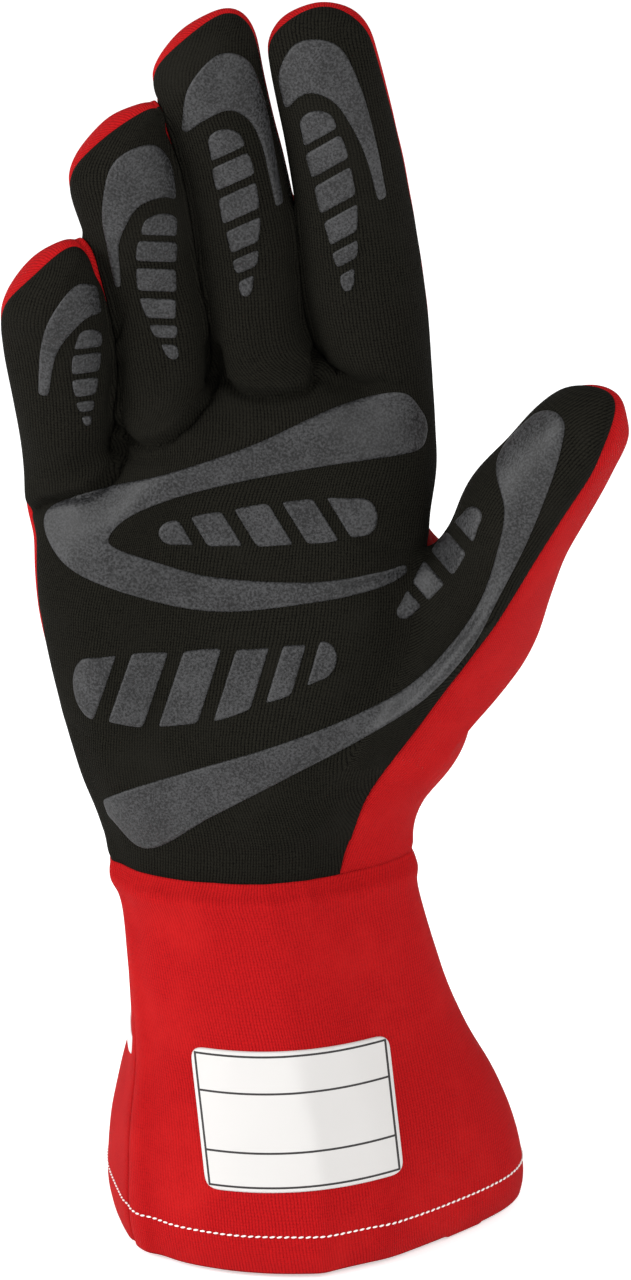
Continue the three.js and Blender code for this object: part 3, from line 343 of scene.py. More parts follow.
# The net is drawn until its smooth surface passes through the wanted points
FIT_ROUNDS = 14
edge_uses = {}
beside = [set() for _ in net_points]
opposite = [[] for _ in net_points]
for face in net_faces:
    for i in range(4):
        a, b = face[i], face[(i + 1) % 4]
        beside[a].add(b)
        beside[b].add(a)
        opposite[a].append(face[(i + 2) % 4])
        edge_uses[frozenset((a, b))] = edge_uses.get(frozenset((a, b)), 0) + 1
rim = [set() for _ in net_points]
for pair, uses in edge_uses.items():
    if uses == 1:
        a, b = pair
        rim[a].add(b)
        rim[b].add(a)
wanted = np.array(net_points)
drawn = wanted.copy()
for _ in range(FIT_ROUNDS):
    smooth = np.empty_like(drawn)
    for i, place in enumerate(drawn):
        if rim[i]:
            smooth[i] = (4 * place + sum(drawn[n] for n in rim[i])) / 6
        elif not beside[i]:
            smooth[i] = place
        else:
            n = len(beside[i])
            ring_sum = 4 * sum(drawn[e] for e in beside[i]) + sum(drawn[c] for c in opposite[i])
            smooth[i] = (n * n * place + ring_sum) / (n * (n + 5))
    drawn += wanted - smooth


def add_object(name, data):
    made = bpy.data.objects.new(name, data)
    bpy.context.scene.collection.objects.link(made)
    return made


def with_modifiers(piece):
    """The piece's mesh as its modifiers leave it."""
    return bpy.data.meshes.new_from_object(piece.evaluated_get(bpy.context.evaluated_depsgraph_get()))


# The skin is the net subdivided until its faces are about two thirds of a millimetre wide
SKIN_LEVELS = 4
net = bpy.data.meshes.new("glove_net")
net.from_pydata(drawn.tolist(), [], net_faces)
net.attributes.new("panel", "INT", "FACE").data.foreach_set("value", net_panels)
grain_layer = net.uv_layers.new(name="grain")
grain_layer.data.foreach_set("uv", np.array(net_grain, float).ravel())
net_object = add_object("glove_net", net)
smoother = net_object.modifiers.new("smooth", "SUBSURF")
smoother.levels = smoother.render_levels = SKIN_LEVELS
skin = with_modifiers(net_object)
bpy.data.objects.remove(net_object)

skin_places = np.empty(len(skin.vertices) * 3, np.float32)
skin.vertices.foreach_get("co", skin_places)
skin_places = skin_places.reshape(-1, 3).astype(float)
skin_normals = np.array([v.vector for v in skin.vertex_normals])
skin_panels = np.empty(len(skin.polygons), np.int32)
skin.attributes["panel"].data.foreach_get("value", skin_panels)
skin_faces = np.array([p.vertices for p in skin.polygons])
skin_grain = np.empty(len(skin.loops) * 2, np.float32)
skin.uv_layers["grain"].data.foreach_get("uv", skin_grain)
skin_grain = skin_grain.reshape(-1, 4, 2)


# Folds, dents and seams. Worn cloth creases where the fingers bend from the palm and in the web of
# the thumb, swells over the pads of the hand, and dips along each sewn seam. They are drawn on a
# board before the palm that leans back by the same angle as the prints are seen at.
BOARD_TILT = math.radians(18)
WRIST_ON_BOARD = -0.523
INTO_PALM = Vector((0, math.cos(BOARD_TILT), -math.sin(BOARD_TILT)))
BOARD_UP = Vector((0, math.sin(BOARD_TILT), math.cos(BOARD_TILT)))

BOARD_AWAY = 0.42
EYE_AWAY = 12.17


def on_board(across, up, away=BOARD_AWAY):
    place = Vector((across * PALM_WIDTH, 0, CUFF_HEIGHT))
    place += BOARD_UP * ((up - WRIST_ON_BOARD) * PALM_WIDTH)
    return place - INTO_PALM * (away * PALM_WIDTH)


EYE = on_board(0, 0, EYE_AWAY)

# Creases: depth, swell on the line's left side and width in millimetres, then the points of the line
# as shares of the palm's width. The swells are the finger roots, which hang over the palm.
CREASES = [
    (2.6, 2.4, 1.1, [(-0.474, 0.66), (-0.488, 0.564), (-0.469, 0.516), (-0.452, 0.487), (-0.425, 0.468),
                     (-0.392, 0.468), (-0.345, 0.485), (-0.301, 0.525), (-0.262, 0.578), (-0.248, 0.648),
                     (-0.253, 0.75)]),
    (2.6, 2.0, 1.1, [(-0.236, 0.70), (-0.222, 0.625), (-0.193, 0.600), (-0.157, 0.590), (-0.116, 0.585),
                     (-0.061, 0.590), (-0.016, 0.604), (0.000, 0.636), (-0.012, 0.72)]),
    (2.4, 1.8, 1.2, [(-0.685, 0.312), (-0.644, 0.331), (-0.589, 0.341), (-0.546, 0.350), (-0.505, 0.377),
                     (-0.482, 0.408), (-0.470, 0.470)]),
    (0.7, 0.9, 2.0, [(0.012, 0.640), (0.050, 0.620), (0.100, 0.612), (0.165, 0.617)]),
    (1.0, 0.6, 1.6, [(-0.47, 0.452), (-0.44, 0.440), (-0.40, 0.438), (-0.36, 0.448)]),
    (1.2, 0.8, 2.0, [(0.10, 0.13), (0.17, 0.145), (0.23, 0.17), (0.275, 0.215)]),
    (0.8, 0.5, 2.2, [(0.06, 0.31), (0.14, 0.24), (0.22, 0.205), (0.27, 0.235)]),
    (0.5, 0.4, 3.0, [(-0.50, -0.46), (-0.30, -0.50), (-0.10, -0.51), (0.05, -0.49)]),
    (0.6, 0.5, 2.6, [(-0.66, 0.05), (-0.60, 0.02), (-0.52, 0.03)]),
    (0.5, 0.5, 2.4, [(-0.60, -0.20), (-0.54, -0.23), (-0.46, -0.22)]),
    (0.5, 0.4, 2.4, [(-0.66, 0.72), (-0.61, 0.70), (-0.56, 0.72)]),
    (0.5, 0.4, 2.4, [(-0.43, 0.86), (-0.38, 0.845), (-0.33, 0.86)]),
    (0.4, 0.4, 2.6, [(-0.16, 0.90), (-0.10, 0.885), (-0.05, 0.90)]),
    (0.4, 0.4, 2.6, [(0.10, 0.90), (0.17, 0.885), (0.24, 0.90)]),
]
SWELL_REACH = 3.2
VALLEY_WIDE = 5.0
VALLEY_DEPTH = 0.25
MM = 0.001
from_eye = skin_places - np.array(EYE)
to_board = (EYE_AWAY - BOARD_AWAY) / (from_eye @ np.array(INTO_PALM))
board_places = np.stack([from_eye[:, 0] * to_board, from_eye @ np.array(BOARD_UP) * to_board], axis=1)
facing = np.clip(-(skin_normals @ np.array(INTO_PALM)), 0, 1)


def beside_line(places, line):
    """Distance of each place from the line, and 1 where it lies on the line's left side."""
    nearest = np.full(len(places), 1e9)
    left = np.zeros(len(places))
    for a, b in zip(np.array(line[:-1]), np.array(line[1:])):
        share = np.clip(((places - a) @ (b - a)) / ((b - a) @ (b - a)), 0, 1)
        offset = places - a - share[:, None] * (b - a)
        away = np.linalg.norm(offset, axis=1)
        turn = (b - a)[0] * (places - a)[:, 1] - (b - a)[1] * (places - a)[:, 0]
        left = np.where(away < nearest, turn > 0, left)
        nearest = np.minimum(nearest, away)
    return nearest, left


lift = np.zeros(len(skin_places))
for depth, swell, width, line in CREASES:
    away, left = beside_line(board_places, line)
    away *= PALM_WIDTH / MM
    lift -= depth * MM * facing * np.exp(-(away / width) ** 2)
    lift -= VALLEY_DEPTH * depth * MM * facing * (1 - left) * np.exp(-(away / VALLEY_WIDE) ** 2)
    lift += swell * MM * facing * left * away / SWELL_REACH * np.exp(1 - away / SWELL_REACH)

# The seams between the panels are pulled down into the cloth
SEAM_DIP = 0.5 * MM
SEAM_SPREAD = 1.3 * MM
face_owner = [set() for _ in skin_places]
for panel, corners in zip(skin_panels, skin_faces):
    for v in corners:
        face_owner[v].add(int(panel))
seam_vertices = [i for i, owners in enumerate(face_owner) if len(owners) > 1]
seam_tree = KDTree(len(seam_vertices))
for i in seam_vertices:
    seam_tree.insert(skin_places[i], i)
seam_tree.balance()
seam_away = np.array([seam_tree.find(place)[2] for place in skin_places])
lift -= SEAM_DIP * np.exp(-(seam_away / SEAM_SPREAD) ** 2)

# Broad unevenness of worn cloth, short puckers that run out from the wrist seam, and the soft roll
# of the gathered cuff just below it
BROAD_WAVE = 28 * MM
BROAD_RISE = 0.55
SMALL_WAVE = 11 * MM
SMALL_RISE = 0.22
PUCKER_REACH = 10 * MM
PUCKER_WIDTH = 4.5 * MM
PUCKER_LENGTH = 30 * MM
PUCKER_RISE = 0.5
WRIST_ROLL = 0.7
WRIST_ROLL_DROP = 4.8 * MM
WRIST_ROLL_SPREAD = 2.6 * MM
for i, place in enumerate(skin_places):
    x, y, z = place
    spot = Vector(place)
    broad = noise.noise(spot / BROAD_WAVE) * BROAD_RISE + noise.noise(spot / SMALL_WAVE) * SMALL_RISE
    near_wrist = math.exp(-((z - CUFF_HEIGHT) / PUCKER_REACH) ** 2)
    pucker = noise.noise(Vector((x / PUCKER_WIDTH, y / PUCKER_WIDTH, z / PUCKER_LENGTH)))
    roll = math.exp(-((z - CUFF_HEIGHT + WRIST_ROLL_DROP) / WRIST_ROLL_SPREAD) ** 2)
    lift[i] += (broad + PUCKER_RISE * near_wrist * pucker + WRIST_ROLL * roll) * MM


def move_skin(distances):
    """The skin's places after each has moved outwards, and the outward directions there."""
    places = skin_places + skin_normals * distances[:, None]
    skin.vertices.foreach_set("co", places.astype(np.float32).ravel())
    skin.update()
    return places, np.array([v.vector for v in skin.vertex_normals])


skin_places, skin_normals = move_skin(lift)

# Neighbouring fingers press together: where two come close, both give way and meet half way. Only
# the tips of the middle and index fingers, above and to the right of two limits, stand apart.
TOUCH_BELOW = 0.0022
APART_FROM = 0.0034
PRESSED_GAP = 0.00008
TIPS_APART_ABOVE = 0.262
TIPS_APART_RIGHT_OF = -0.022
FINGERS_FROM = CUFF_HEIGHT + 0.70 * PALM_LENGTH
SIDEWAYS = 0.3
FACE_TO_FACE = -0.5
SKIN_CLEARANCE = 0.00005
PUSH_ROUNDS = 2
finger_tree = BVHTree.FromPolygons([Vector(p) for p in skin_places], skin_faces.tolist())
push = np.zeros(len(skin_places))
closed = (skin_places[:, 2] > FINGERS_FROM) & (abs(skin_normals[:, 0]) > SIDEWAYS)
closed &= (skin_places[:, 2] < TIPS_APART_ABOVE) | (skin_places[:, 0] < TIPS_APART_RIGHT_OF)
for i in np.flatnonzero(closed):
    outward = Vector(skin_normals[i])
    start = Vector(skin_places[i]) + outward * SKIN_CLEARANCE
    hit, normal, _, gap = finger_tree.ray_cast(start, outward, APART_FROM)
    if hit and normal.dot(outward) < FACE_TO_FACE:
        nearness = min(1, (APART_FROM - gap) / (APART_FROM - TOUCH_BELOW))
        push[i] = max(0, gap - PRESSED_GAP) / 2 * nearness * nearness * (3 - 2 * nearness)
for _ in range(PUSH_ROUNDS):
    around = np.zeros(len(push))
    shares = np.zeros(len(push))
    for k in range(4):
        for other in (1, 3):
            np.add.at(around, skin_faces[:, k], push[skin_faces[:, (k + other) % 4]])
            np.add.at(shares, skin_faces[:, k], 1)
    push = 0.5 * push + 0.5 * around / np.maximum(shares, 1)
skin_places, skin_normals = move_skin(push)


# The knit. A fine single-rib knit: raised ribs about three quarters of a millimetre apart that run
# up the hand, each a column of little slanted loops. One node group draws it for both colours.
RIB_PITCH = 0.00078
LOOP_PITCH = 0.0007


def feed(tree, socket, value):
    """A value typed in, or another socket linked to it."""
    if isinstance(value, bpy.types.NodeSocket):
        tree.links.new(value, socket)
    elif isinstance(value, tuple):
        socket.default_value = (*value, 1)
    else:
        socket.default_value = value


def add_node(tree, kind, inputs=None, **settings):
    """A node of a kind, with its settings made and its named or numbered inputs fed."""
    node = tree.nodes.new(kind)
    for name, value in settings.items():
        setattr(node, name, value)
    for socket, value in (inputs or {}).items():
        feed(tree, node.inputs[socket], value)
    return node


def maths(tree, operation, a, b=None, clamp=False):
    inputs = {0: a} if b is None else {0: a, 1: b}
    return add_node(tree, "ShaderNodeMath", inputs, operation=operation, use_clamp=clamp).outputs[0]


def grainy(tree, place, scale, detail, roughness=0.5):
    inputs = {"Vector": place, "Scale": scale, "Detail": detail, "Roughness": roughness}
    return add_node(tree, "ShaderNodeTexNoise", inputs).outputs["Fac"]


def blend(tree, factor, first, second):
    inputs = {"Factor": factor, "A": first, "B": second}
    return add_node(tree, "ShaderNodeMix", inputs, data_type="RGBA").outputs["Result"]


def spread(tree, value, ends):
    return add_node(tree, "ShaderNodeMapRange", {"Value": value, **ends}).outputs["Result"]


def raise_surface(tree, shader, height, strength, distance):
    inputs = {"Height": height, "Strength": strength, "Distance": distance}
    bump = add_node(tree, "ShaderNodeBump", inputs)
    tree.links.new(bump.outputs["Normal"], shader.inputs["Normal"])


def new_material(name, roughness, specular=0.5):
    """A material with its tree, its shader, and the place on the object that patterns are drawn by."""
    made = bpy.data.materials.new(name)
    made.use_nodes = True
    shader = made.node_tree.nodes["Principled BSDF"]
    shader.inputs["Roughness"].default_value = roughness
    shader.inputs["Specular IOR Level"].default_value = specular
    place = add_node(made.node_tree, "ShaderNodeTexCoord").outputs["Object"]
    return made, made.node_tree, shader, place


knit = bpy.data.node_groups.new("fine_rib_knit", "ShaderNodeTree")
KNIT_INPUTS = {"Grain": "Vector", "Place": "Vector", "Rib pitch": "Float", "Loop pitch": "Float"}
for socket, kind in KNIT_INPUTS.items():
    knit.interface.new_socket(socket, in_out="INPUT", socket_type="NodeSocket" + kind)
for socket in ("Rib", "Height", "Fuzz", "Shade"):
    knit.interface.new_socket(socket, in_out="OUTPUT", socket_type="NodeSocketFloat")
knit_in = add_node(knit, "NodeGroupInput")
parts = add_node(knit, "ShaderNodeSeparateXYZ", {0: knit_in.outputs["Grain"]})
wander = grainy(knit, knit_in.outputs["Place"], 220, 1)
wobble = maths(knit, "MULTIPLY", maths(knit, "SUBTRACT", wander, 0.5), 0.0005)
across = maths(knit, "DIVIDE", maths(knit, "ADD", parts.outputs["X"], wobble), knit_in.outputs["Rib pitch"])
rib = maths(knit, "MULTIPLY", maths(knit, "PINGPONG", across, 0.5), 2)
rib_round = maths(knit, "POWER", maths(knit, "SINE", maths(knit, "MULTIPLY", rib, math.pi / 2)), 0.8)
chevron = maths(knit, "ADD", maths(knit, "DIVIDE", parts.outputs["Y"], knit_in.outputs["Loop pitch"]),
                maths(knit, "MULTIPLY", rib, 0.45))
loops = maths(knit, "SINE", maths(knit, "MULTIPLY", chevron, 2 * math.pi))
loops = maths(knit, "MULTIPLY", maths(knit, "MULTIPLY", loops, 0.32), rib_round)
looped_rib = maths(knit, "ADD", rib_round, loops)
fuzz = maths(knit, "SUBTRACT", grainy(knit, knit_in.outputs["Place"], 3200, 3), 0.5)
height = maths(knit, "ADD", looped_rib, maths(knit, "MULTIPLY", fuzz, 0.7))
patches = grainy(knit, knit_in.outputs["Place"], 45, 4, 0.6)
add_node(knit, "NodeGroupOutput", {"Rib": looped_rib, "Height": height, "Fuzz": fuzz, "Shade": patches})


def knit_material(name, groove_painted_shade, ridge, worn, roughness, specular):
    made, tree, shader, place = new_material(name, roughness, specular)
    grain = add_node(tree, "ShaderNodeUVMap", uv_map="grain").outputs["UV"]
    inputs = {"Grain": grain, "Place": place, "Rib pitch": RIB_PITCH, "Loop pitch": LOOP_PITCH}
    cloth = add_node(tree, "ShaderNodeGroup", inputs, node_tree=knit)
    # The colour is painted shade in the hollows between the ribs: it runs from the groove colour, a painted
    # shade, low on each rib to the ridge colour on its crest, broken up by the fuzz
    rib_light_mask = maths(tree, "MULTIPLY", cloth.outputs["Fuzz"], 2.2)
    rib_light_mask = maths(tree, "ADD", cloth.outputs["Rib"], rib_light_mask, True)
    fade = spread(tree, cloth.outputs["Shade"], {"From Min": 0.5, "From Max": 0.85})
    ribbed_with_painted_shade = blend(tree, rib_light_mask, groove_painted_shade, ridge)
    tree.links.new(blend(tree, fade, ribbed_with_painted_shade, worn), shader.inputs["Base Color"])
    raise_surface(tree, shader, cloth.outputs["Height"], 0.8, 0.00018)
    return made


# The first colour of each knit is the painted shade of the grooves between the ribs, the second the ridges'
# own colour, the third that of the random lighter patches
black_knit = knit_material("black_knit", (0.0004, 0.0003, 0.0002), (0.0085, 0.0080, 0.0058),
                           (0.0085, 0.0080, 0.0062), 0.9, 0.04)
red_knit = knit_material("red_knit", (0.205, 0.0025, 0.0035), (0.335, 0.0050, 0.0060),
                         (0.36, 0.008, 0.008), 0.85, 0.05)


# Cloth panels. Each is cut from the skin along its seams and given the cloth's thickness inwards: the
# black palm with the finger and thumb fronts, the red back of the hand, and the red front and back of
# the gauntlet cuff, whose hem is turned up and doubled and given a rolled edge.
WALL = 0.0016
HEM_WALL = 0.003
HEM_BAND = 0.0095
HEM_FADE = 0.15
HEM_ROLL = 0.0008
HEM_END_SHARE = 0.7
SEAM_DRAW = 0.00001


def shade_smooth(mesh):
    mesh.polygons.foreach_set("use_smooth", [True] * len(mesh.polygons))


def cut_panel(name, panel):
    rows = np.flatnonzero(skin_panels == panel)
    corners = skin_faces[rows]
    used, local = np.unique(corners, return_inverse=True)
    local = local.reshape(corners.shape)
    places = skin_places[used].copy()
    middles = skin_places[corners].mean(axis=1)
    draw = np.zeros_like(places)
    for k in range(4):
        np.add.at(draw, local[:, k], middles - places[local[:, k]])
    on_seam = np.array([len(face_owner[v]) > 1 for v in used])
    length = np.linalg.norm(draw, axis=1, keepdims=True) + 1e-12
    places += np.where(on_seam[:, None], draw / length * SEAM_DRAW, 0)
    mesh = bpy.data.meshes.new(name)
    mesh.from_pydata(places.tolist(), [], local.tolist())
    layer = mesh.uv_layers.new(name="grain")
    layer.data.foreach_set("uv", skin_grain[rows].ravel())
    shade_smooth(mesh)
    return add_object(name, mesh)


def thicken(piece, wall, hem_wall=None):
    solid = piece.modifiers.new("thickness", "SOLIDIFY")
    solid.offset = -1
    solid.thickness = wall
    if hem_wall:
        group = piece.vertex_groups.new(name="hem")
        for v in piece.data.vertices:
            share = min(1, max(0, 1 + HEM_FADE - v.co.z / HEM_BAND) / HEM_FADE)
            group.add([v.index], mix(wall / hem_wall, 1, share), "REPLACE")
        solid.thickness = hem_wall
        solid.vertex_group = "hem"
    made = with_modifiers(piece)
    piece.modifiers.clear()
    piece.vertex_groups.clear()
    piece.data = made
    made.name = piece.name
    if hem_wall:
        form = bmesh.new()
        form.from_mesh(made)
        edges = []
        for edge in form.edges:
            low = max(v.co.z for v in edge.verts) < HEM_ROLL
            if low and edge.calc_face_angle(0) > 1 and edge.calc_length() < HEM_END_SHARE * hem_wall:
                edges.append(edge)
        bmesh.ops.bevel(form, geom=edges, offset=HEM_ROLL, segments=2, profile=0.5, affect="EDGES")
        form.to_mesh(made)
        form.free()
        shade_smooth(made)


def finish_cloth(piece, node, material):
    piece.data.materials.clear()
    piece.data.materials.append(material)
    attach(piece, "root")
    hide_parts(node)


palm = cut_panel("palm_cloth", PALM)
thicken(palm, WALL)
finish_cloth(palm, "palm_panel", black_knit)

back = cut_panel("back_cloth", BACK)
thicken(back, WALL)
finish_cloth(back, "back_panel", red_knit)

cuff_front = cut_panel("cuff_front_cloth", CUFF_FRONT)
thicken(cuff_front, WALL, HEM_WALL)
finish_cloth(cuff_front, "cuff_front", red_knit)

cuff_back = cut_panel("cuff_back_cloth", CUFF_BACK)
thicken(cuff_back, WALL, HEM_WALL)
finish_cloth(cuff_back, "cuff_back", red_knit)


# Silicone print. Grey silicone is screen-printed on the palm in raised shapes about half a
# millimetre thick, with soft edges and a grainy satin face, so that the hand grips the wheel.
PRINT_RISE = 0.00045
PRINT_EDGE = 0.0075
PRINT_ROOT = 0.0003
skin_tree = BVHTree.FromPolygons([Vector(p) for p in skin_places], skin_faces.tolist())
STEEPEST = 0.16
CORNER_ROUNDS = 5
DRAWN_IN_STEP = 0.002
DRAWN_IN_MOST = 0.2
DRAWN_IN_ROUNDS = 12
DRAWN_IN_FADE = 0.96
EDGE_RINGS = (0.12, 0.35, 0.7)
GRID_STEP = 1.6
GRID_ROW = 0.87
RING_KEPT = 0.9
SLIDE_STEP = 0.02
SAME_PLACE = 1e-7
LOOP_CHUNK = 400

silicone, tree, shader, place = new_material("grey_silicone", 0.5, 0.29)
speck = grainy(tree, place, 1900, 2)
mottle = grainy(tree, place, 110, 4)
grains = maths(tree, "ADD", maths(tree, "MULTIPLY", speck, 0.75), maths(tree, "MULTIPLY", mottle, 0.25))
tone = add_node(tree, "ShaderNodeValToRGB", {"Fac": grains})
dark, light = tone.color_ramp.elements
dark.position, dark.color = 0.40, (0.0022, 0.0022, 0.0023, 1)
light.position, light.color = 0.62, (0.030, 0.0302, 0.0315, 1)
tree.links.new(tone.outputs["Color"], shader.inputs["Base Color"])
satin = spread(tree, speck, {"To Min": 0.42, "To Max": 0.70})
tree.links.new(satin, shader.inputs["Roughness"])
raise_surface(tree, shader, grains, 0.6, 0.00018)


def behind_board(point):
    """The cloth that the eye sees through a board point, and its smooth outward direction."""
    sight = on_board(*point) - EYE
    hit, normal, index, _ = skin_tree.ray_cast(EYE, sight.normalized())
    if not hit or normal.dot(INTO_PALM) > -STEEPEST:
        return None
    corners = skin_faces[index]
    shares = interpolate.poly_3d_calc([Vector(skin_places[c]) for c in corners], hit)
    smooth = sum((Vector(skin_normals[c]) * share for c, share in zip(corners, shares)), Vector())
    return hit, smooth.normalized()


def line_distance(points, loop):
    """Distance of each point from the closed line through the loop's points."""
    best = np.full(len(points), 1e9)
    steps = np.roll(loop, -1, axis=0) - loop
    lengths = (steps * steps).sum(axis=1) + 1e-15
    for first in range(0, len(points), LOOP_CHUNK):
        some = points[first:first + LOOP_CHUNK, None] - loop[None]
        shares = np.clip((some * steps).sum(axis=2) / lengths, 0, 1)
        away = np.linalg.norm(some - shares[..., None] * steps, axis=2)
        best[first:first + LOOP_CHUNK] = away.min(axis=1)
    return best


def even_loop(loop, spacing):
    """The closed line again, with evenly spaced points and its corners a little rounded."""
    loop = np.array(loop)
    closed = np.vstack([loop, loop[:1]])
    along = np.concatenate([[0], np.cumsum(np.linalg.norm(np.diff(closed, axis=0), axis=1))])
    count = max(16, int(along[-1] / spacing))
    at = np.linspace(0, along[-1], count, endpoint=False)
    even = np.stack([np.interp(at, along, closed[:, k]) for k in range(2)], axis=1)
    for _ in range(CORNER_ROUNDS):
        even = (np.roll(even, 1, axis=0) + 2 * even + np.roll(even, -1, axis=0)) / 4
    return even


def draw_in(loop, inward):
    """The line again, drawn inwards wherever the eye sees no cloth behind it."""
    drawn = np.zeros(len(loop))
    for i in range(len(loop)):
        while behind_board(loop[i] + inward[i] * drawn[i]) is None and drawn[i] < DRAWN_IN_MOST:
            drawn[i] += DRAWN_IN_STEP
    for _ in range(DRAWN_IN_ROUNDS):
        drawn = np.maximum(drawn, (np.roll(drawn, 1) + np.roll(drawn, -1)) / 2 * DRAWN_IN_FADE)
    return loop + inward * drawn[:, None]


def sheet_points(loop, inward, edge, spacing):
    """The line's own points, rings along its rounded edge, and an even grid inside them."""
    points = [loop]
    for share in EDGE_RINGS:
        ring = loop + inward * (edge * share)
        points.append(ring[line_distance(ring, loop) > edge * share * RING_KEPT])
    low, high = loop.min(axis=0), loop.max(axis=0)
    step = spacing * GRID_STEP
    across, up = np.meshgrid(np.arange(low[0], high[0], step), np.arange(low[1], high[1], step * GRID_ROW))
    across[1::2] += step / 2
    grid = np.stack([across.ravel(), up.ravel()], axis=1)
    grid = grid[line_distance(grid, loop) > edge]
    winding = np.zeros(len(grid), int)
    for a, b in zip(loop, np.roll(loop, -1, axis=0)):
        crosses = (a[1] <= grid[:, 1]) != (b[1] <= grid[:, 1])
        x = a[0] + (grid[:, 1] - a[1]) * (b[0] - a[0]) / (b[1] - a[1] + 1e-15)
        winding += crosses & (grid[:, 0] < x)
    points.append(grid[winding % 2 == 1])
    return np.vstack(points)


def lay_print(name, loop, rise, root, edge, spacing, material):
    """A closed sheet inside a line on the board, its edge rounded down into the cloth."""
    loop = even_loop(loop, spacing)
    if ((loop - np.roll(loop, 1, axis=0))[:, 1] * (loop + np.roll(loop, 1, axis=0))[:, 0]).sum() < 0:
        loop = loop[::-1]
    ahead = np.roll(loop, -1, axis=0) - np.roll(loop, 1, axis=0)
    inward = np.stack([-ahead[:, 1], ahead[:, 0]], axis=1)
    inward /= np.linalg.norm(inward, axis=1, keepdims=True)
    loop = draw_in(loop, inward)
    flat = sheet_points(loop, inward, edge, spacing)
    made = delaunay_2d_cdt([Vector(p) for p in flat], [], [list(range(len(loop)))], 1, SAME_PLACE)
    flat = np.array([tuple(p) for p in made[0]])
    triangles = [t for t in made[2] if len(set(t)) == 3]
    away = line_distance(flat, loop)
    middle = flat.mean(axis=0)
    top, bottom = [], []
    for point, inset in zip(flat, away):
        hit = behind_board(point)
        slide = 0
        while hit is None:
            slide += SLIDE_STEP
            hit = behind_board(point + (middle - point) * slide)
        inside = min(1, inset / edge)
        height = rise * math.sqrt(1 - (1 - inside) ** 2) - root * (1 - inside) ** 4
        top.append(hit[0] + hit[1] * height)
        bottom.append(hit[0] - hit[1] * root)
    count = len(flat)
    faces = [tuple(t) for t in triangles]
    faces += [(count + t[0], count + t[2], count + t[1]) for t in triangles]
    edges = {(t[i], t[(i + 1) % 3]) for t in triangles for i in range(3)}
    for a, b in edges:
        if (b, a) not in edges:
            faces.append((b, a, count + a, count + b))
    mesh = bpy.data.meshes.new(name)
    mesh.from_pydata([tuple(p) for p in top + bottom], [], faces)
    if mesh.polygons[0].normal.dot(INTO_PALM) > 0:
        mesh.flip_normals()
    shade_smooth(mesh)
    mesh.materials.append(material)
    board = mesh.uv_layers.new(name="board")
    for corner in mesh.loops:
        board.data[corner.index].uv = flat[corner.vertex_index % count]
    return add_object(name, mesh)


def finish_print(piece, node):
    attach(piece, "root")
    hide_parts(node)


# Bands. The large curved prints: a crescent round each fingertip, the hook under the fingers and the
# sweep from the heel of the hand to the thumb's tip, all of grey silicone. Each lies between two
# edges, and each edge is a smooth curve through a few board points.
BANDS = {
    "pad_little_hood": [
        ((-0.524, 0.852), (-0.512, 0.785)), ((-0.577, 0.850), (-0.553, 0.768)),
        ((-0.637, 0.773), (-0.608, 0.708)), ((-0.661, 0.696), (-0.628, 0.660)),
        ((-0.666, 0.588), (-0.640, 0.583))],
    "pad_ring_hood": [
        ((-0.334, 1.075), (-0.335, 1.055)), ((-0.350, 1.152), (-0.366, 1.061)),
        ((-0.397, 1.190), (-0.426, 1.037)), ((-0.486, 1.145), (-0.464, 0.972)),
        ((-0.513, 1.032), (-0.472, 0.935)), ((-0.500, 0.936), (-0.468, 0.885)),
        ((-0.481, 0.845), (-0.466, 0.845))],
    "pad_middle_hood": [
        ((-0.323, 1.224), (-0.311, 1.214)), ((-0.306, 1.325), (-0.265, 1.246)),
        ((-0.236, 1.404), (-0.205, 1.270)), ((-0.162, 1.392), (-0.157, 1.243)),
        ((-0.124, 1.303), (-0.128, 1.183)), ((-0.102, 1.200), (-0.114, 1.123)),
        ((-0.076, 1.049), (-0.095, 1.037))],
    "pad_index_hood": [
        ((-0.076, 1.279), (-0.066, 1.274)), ((-0.088, 1.363), (-0.037, 1.303)),
        ((-0.042, 1.435), (0.001, 1.310)), ((0.052, 1.428), (0.054, 1.279)),
        ((0.107, 1.332), (0.102, 1.200)), ((0.145, 1.200), (0.126, 1.140)),
        ((0.172, 1.063), (0.150, 1.051))],
    "pad_palm_hook": [
        ((0.270, 0.516), (0.269, 0.494)), ((0.256, 0.550), (0.256, 0.462)),
        ((0.203, 0.595), (0.208, 0.444)),
        ((0.059, 0.564), (0.035, 0.418)), ((-0.157, 0.466), (-0.145, 0.386)),
        ((-0.361, 0.398), (-0.325, 0.343)), ((-0.510, 0.365), (-0.445, 0.295)),
        ((-0.648, 0.307), (-0.496, 0.245)), ((-0.608, 0.187), (-0.479, 0.221)),
        ((-0.469, 0.115), (-0.397, 0.192)), ((-0.241, 0.067), (-0.241, 0.151)),
        ((0.011, 0.091), (-0.013, 0.139)), ((0.155, 0.125), (0.150, 0.163)),
        ((0.222, 0.160), (0.218, 0.184))],
    "pad_thumb_sweep": [
        ((-0.512, -0.382), (-0.498, -0.422)), ((-0.433, -0.353), (-0.402, -0.502)),
        ((-0.277, -0.307), (-0.248, -0.425)), ((-0.097, -0.254), (-0.061, -0.329)),
        ((0.083, -0.185), (0.112, -0.238)), ((0.227, -0.106), (0.263, -0.142)),
        ((0.328, -0.005), (0.376, -0.017)), ((0.395, 0.096), (0.443, 0.106)),
        ((0.436, 0.216), (0.500, 0.216)), ((0.452, 0.312), (0.546, 0.324)),
        ((0.432, 0.408), (0.580, 0.420)), ((0.455, 0.473), (0.599, 0.504)),
        ((0.520, 0.539), (0.594, 0.530)), ((0.552, 0.553), (0.577, 0.549))],
}
PRINT_SPACING = 0.0045
BAND_STEPS = 12


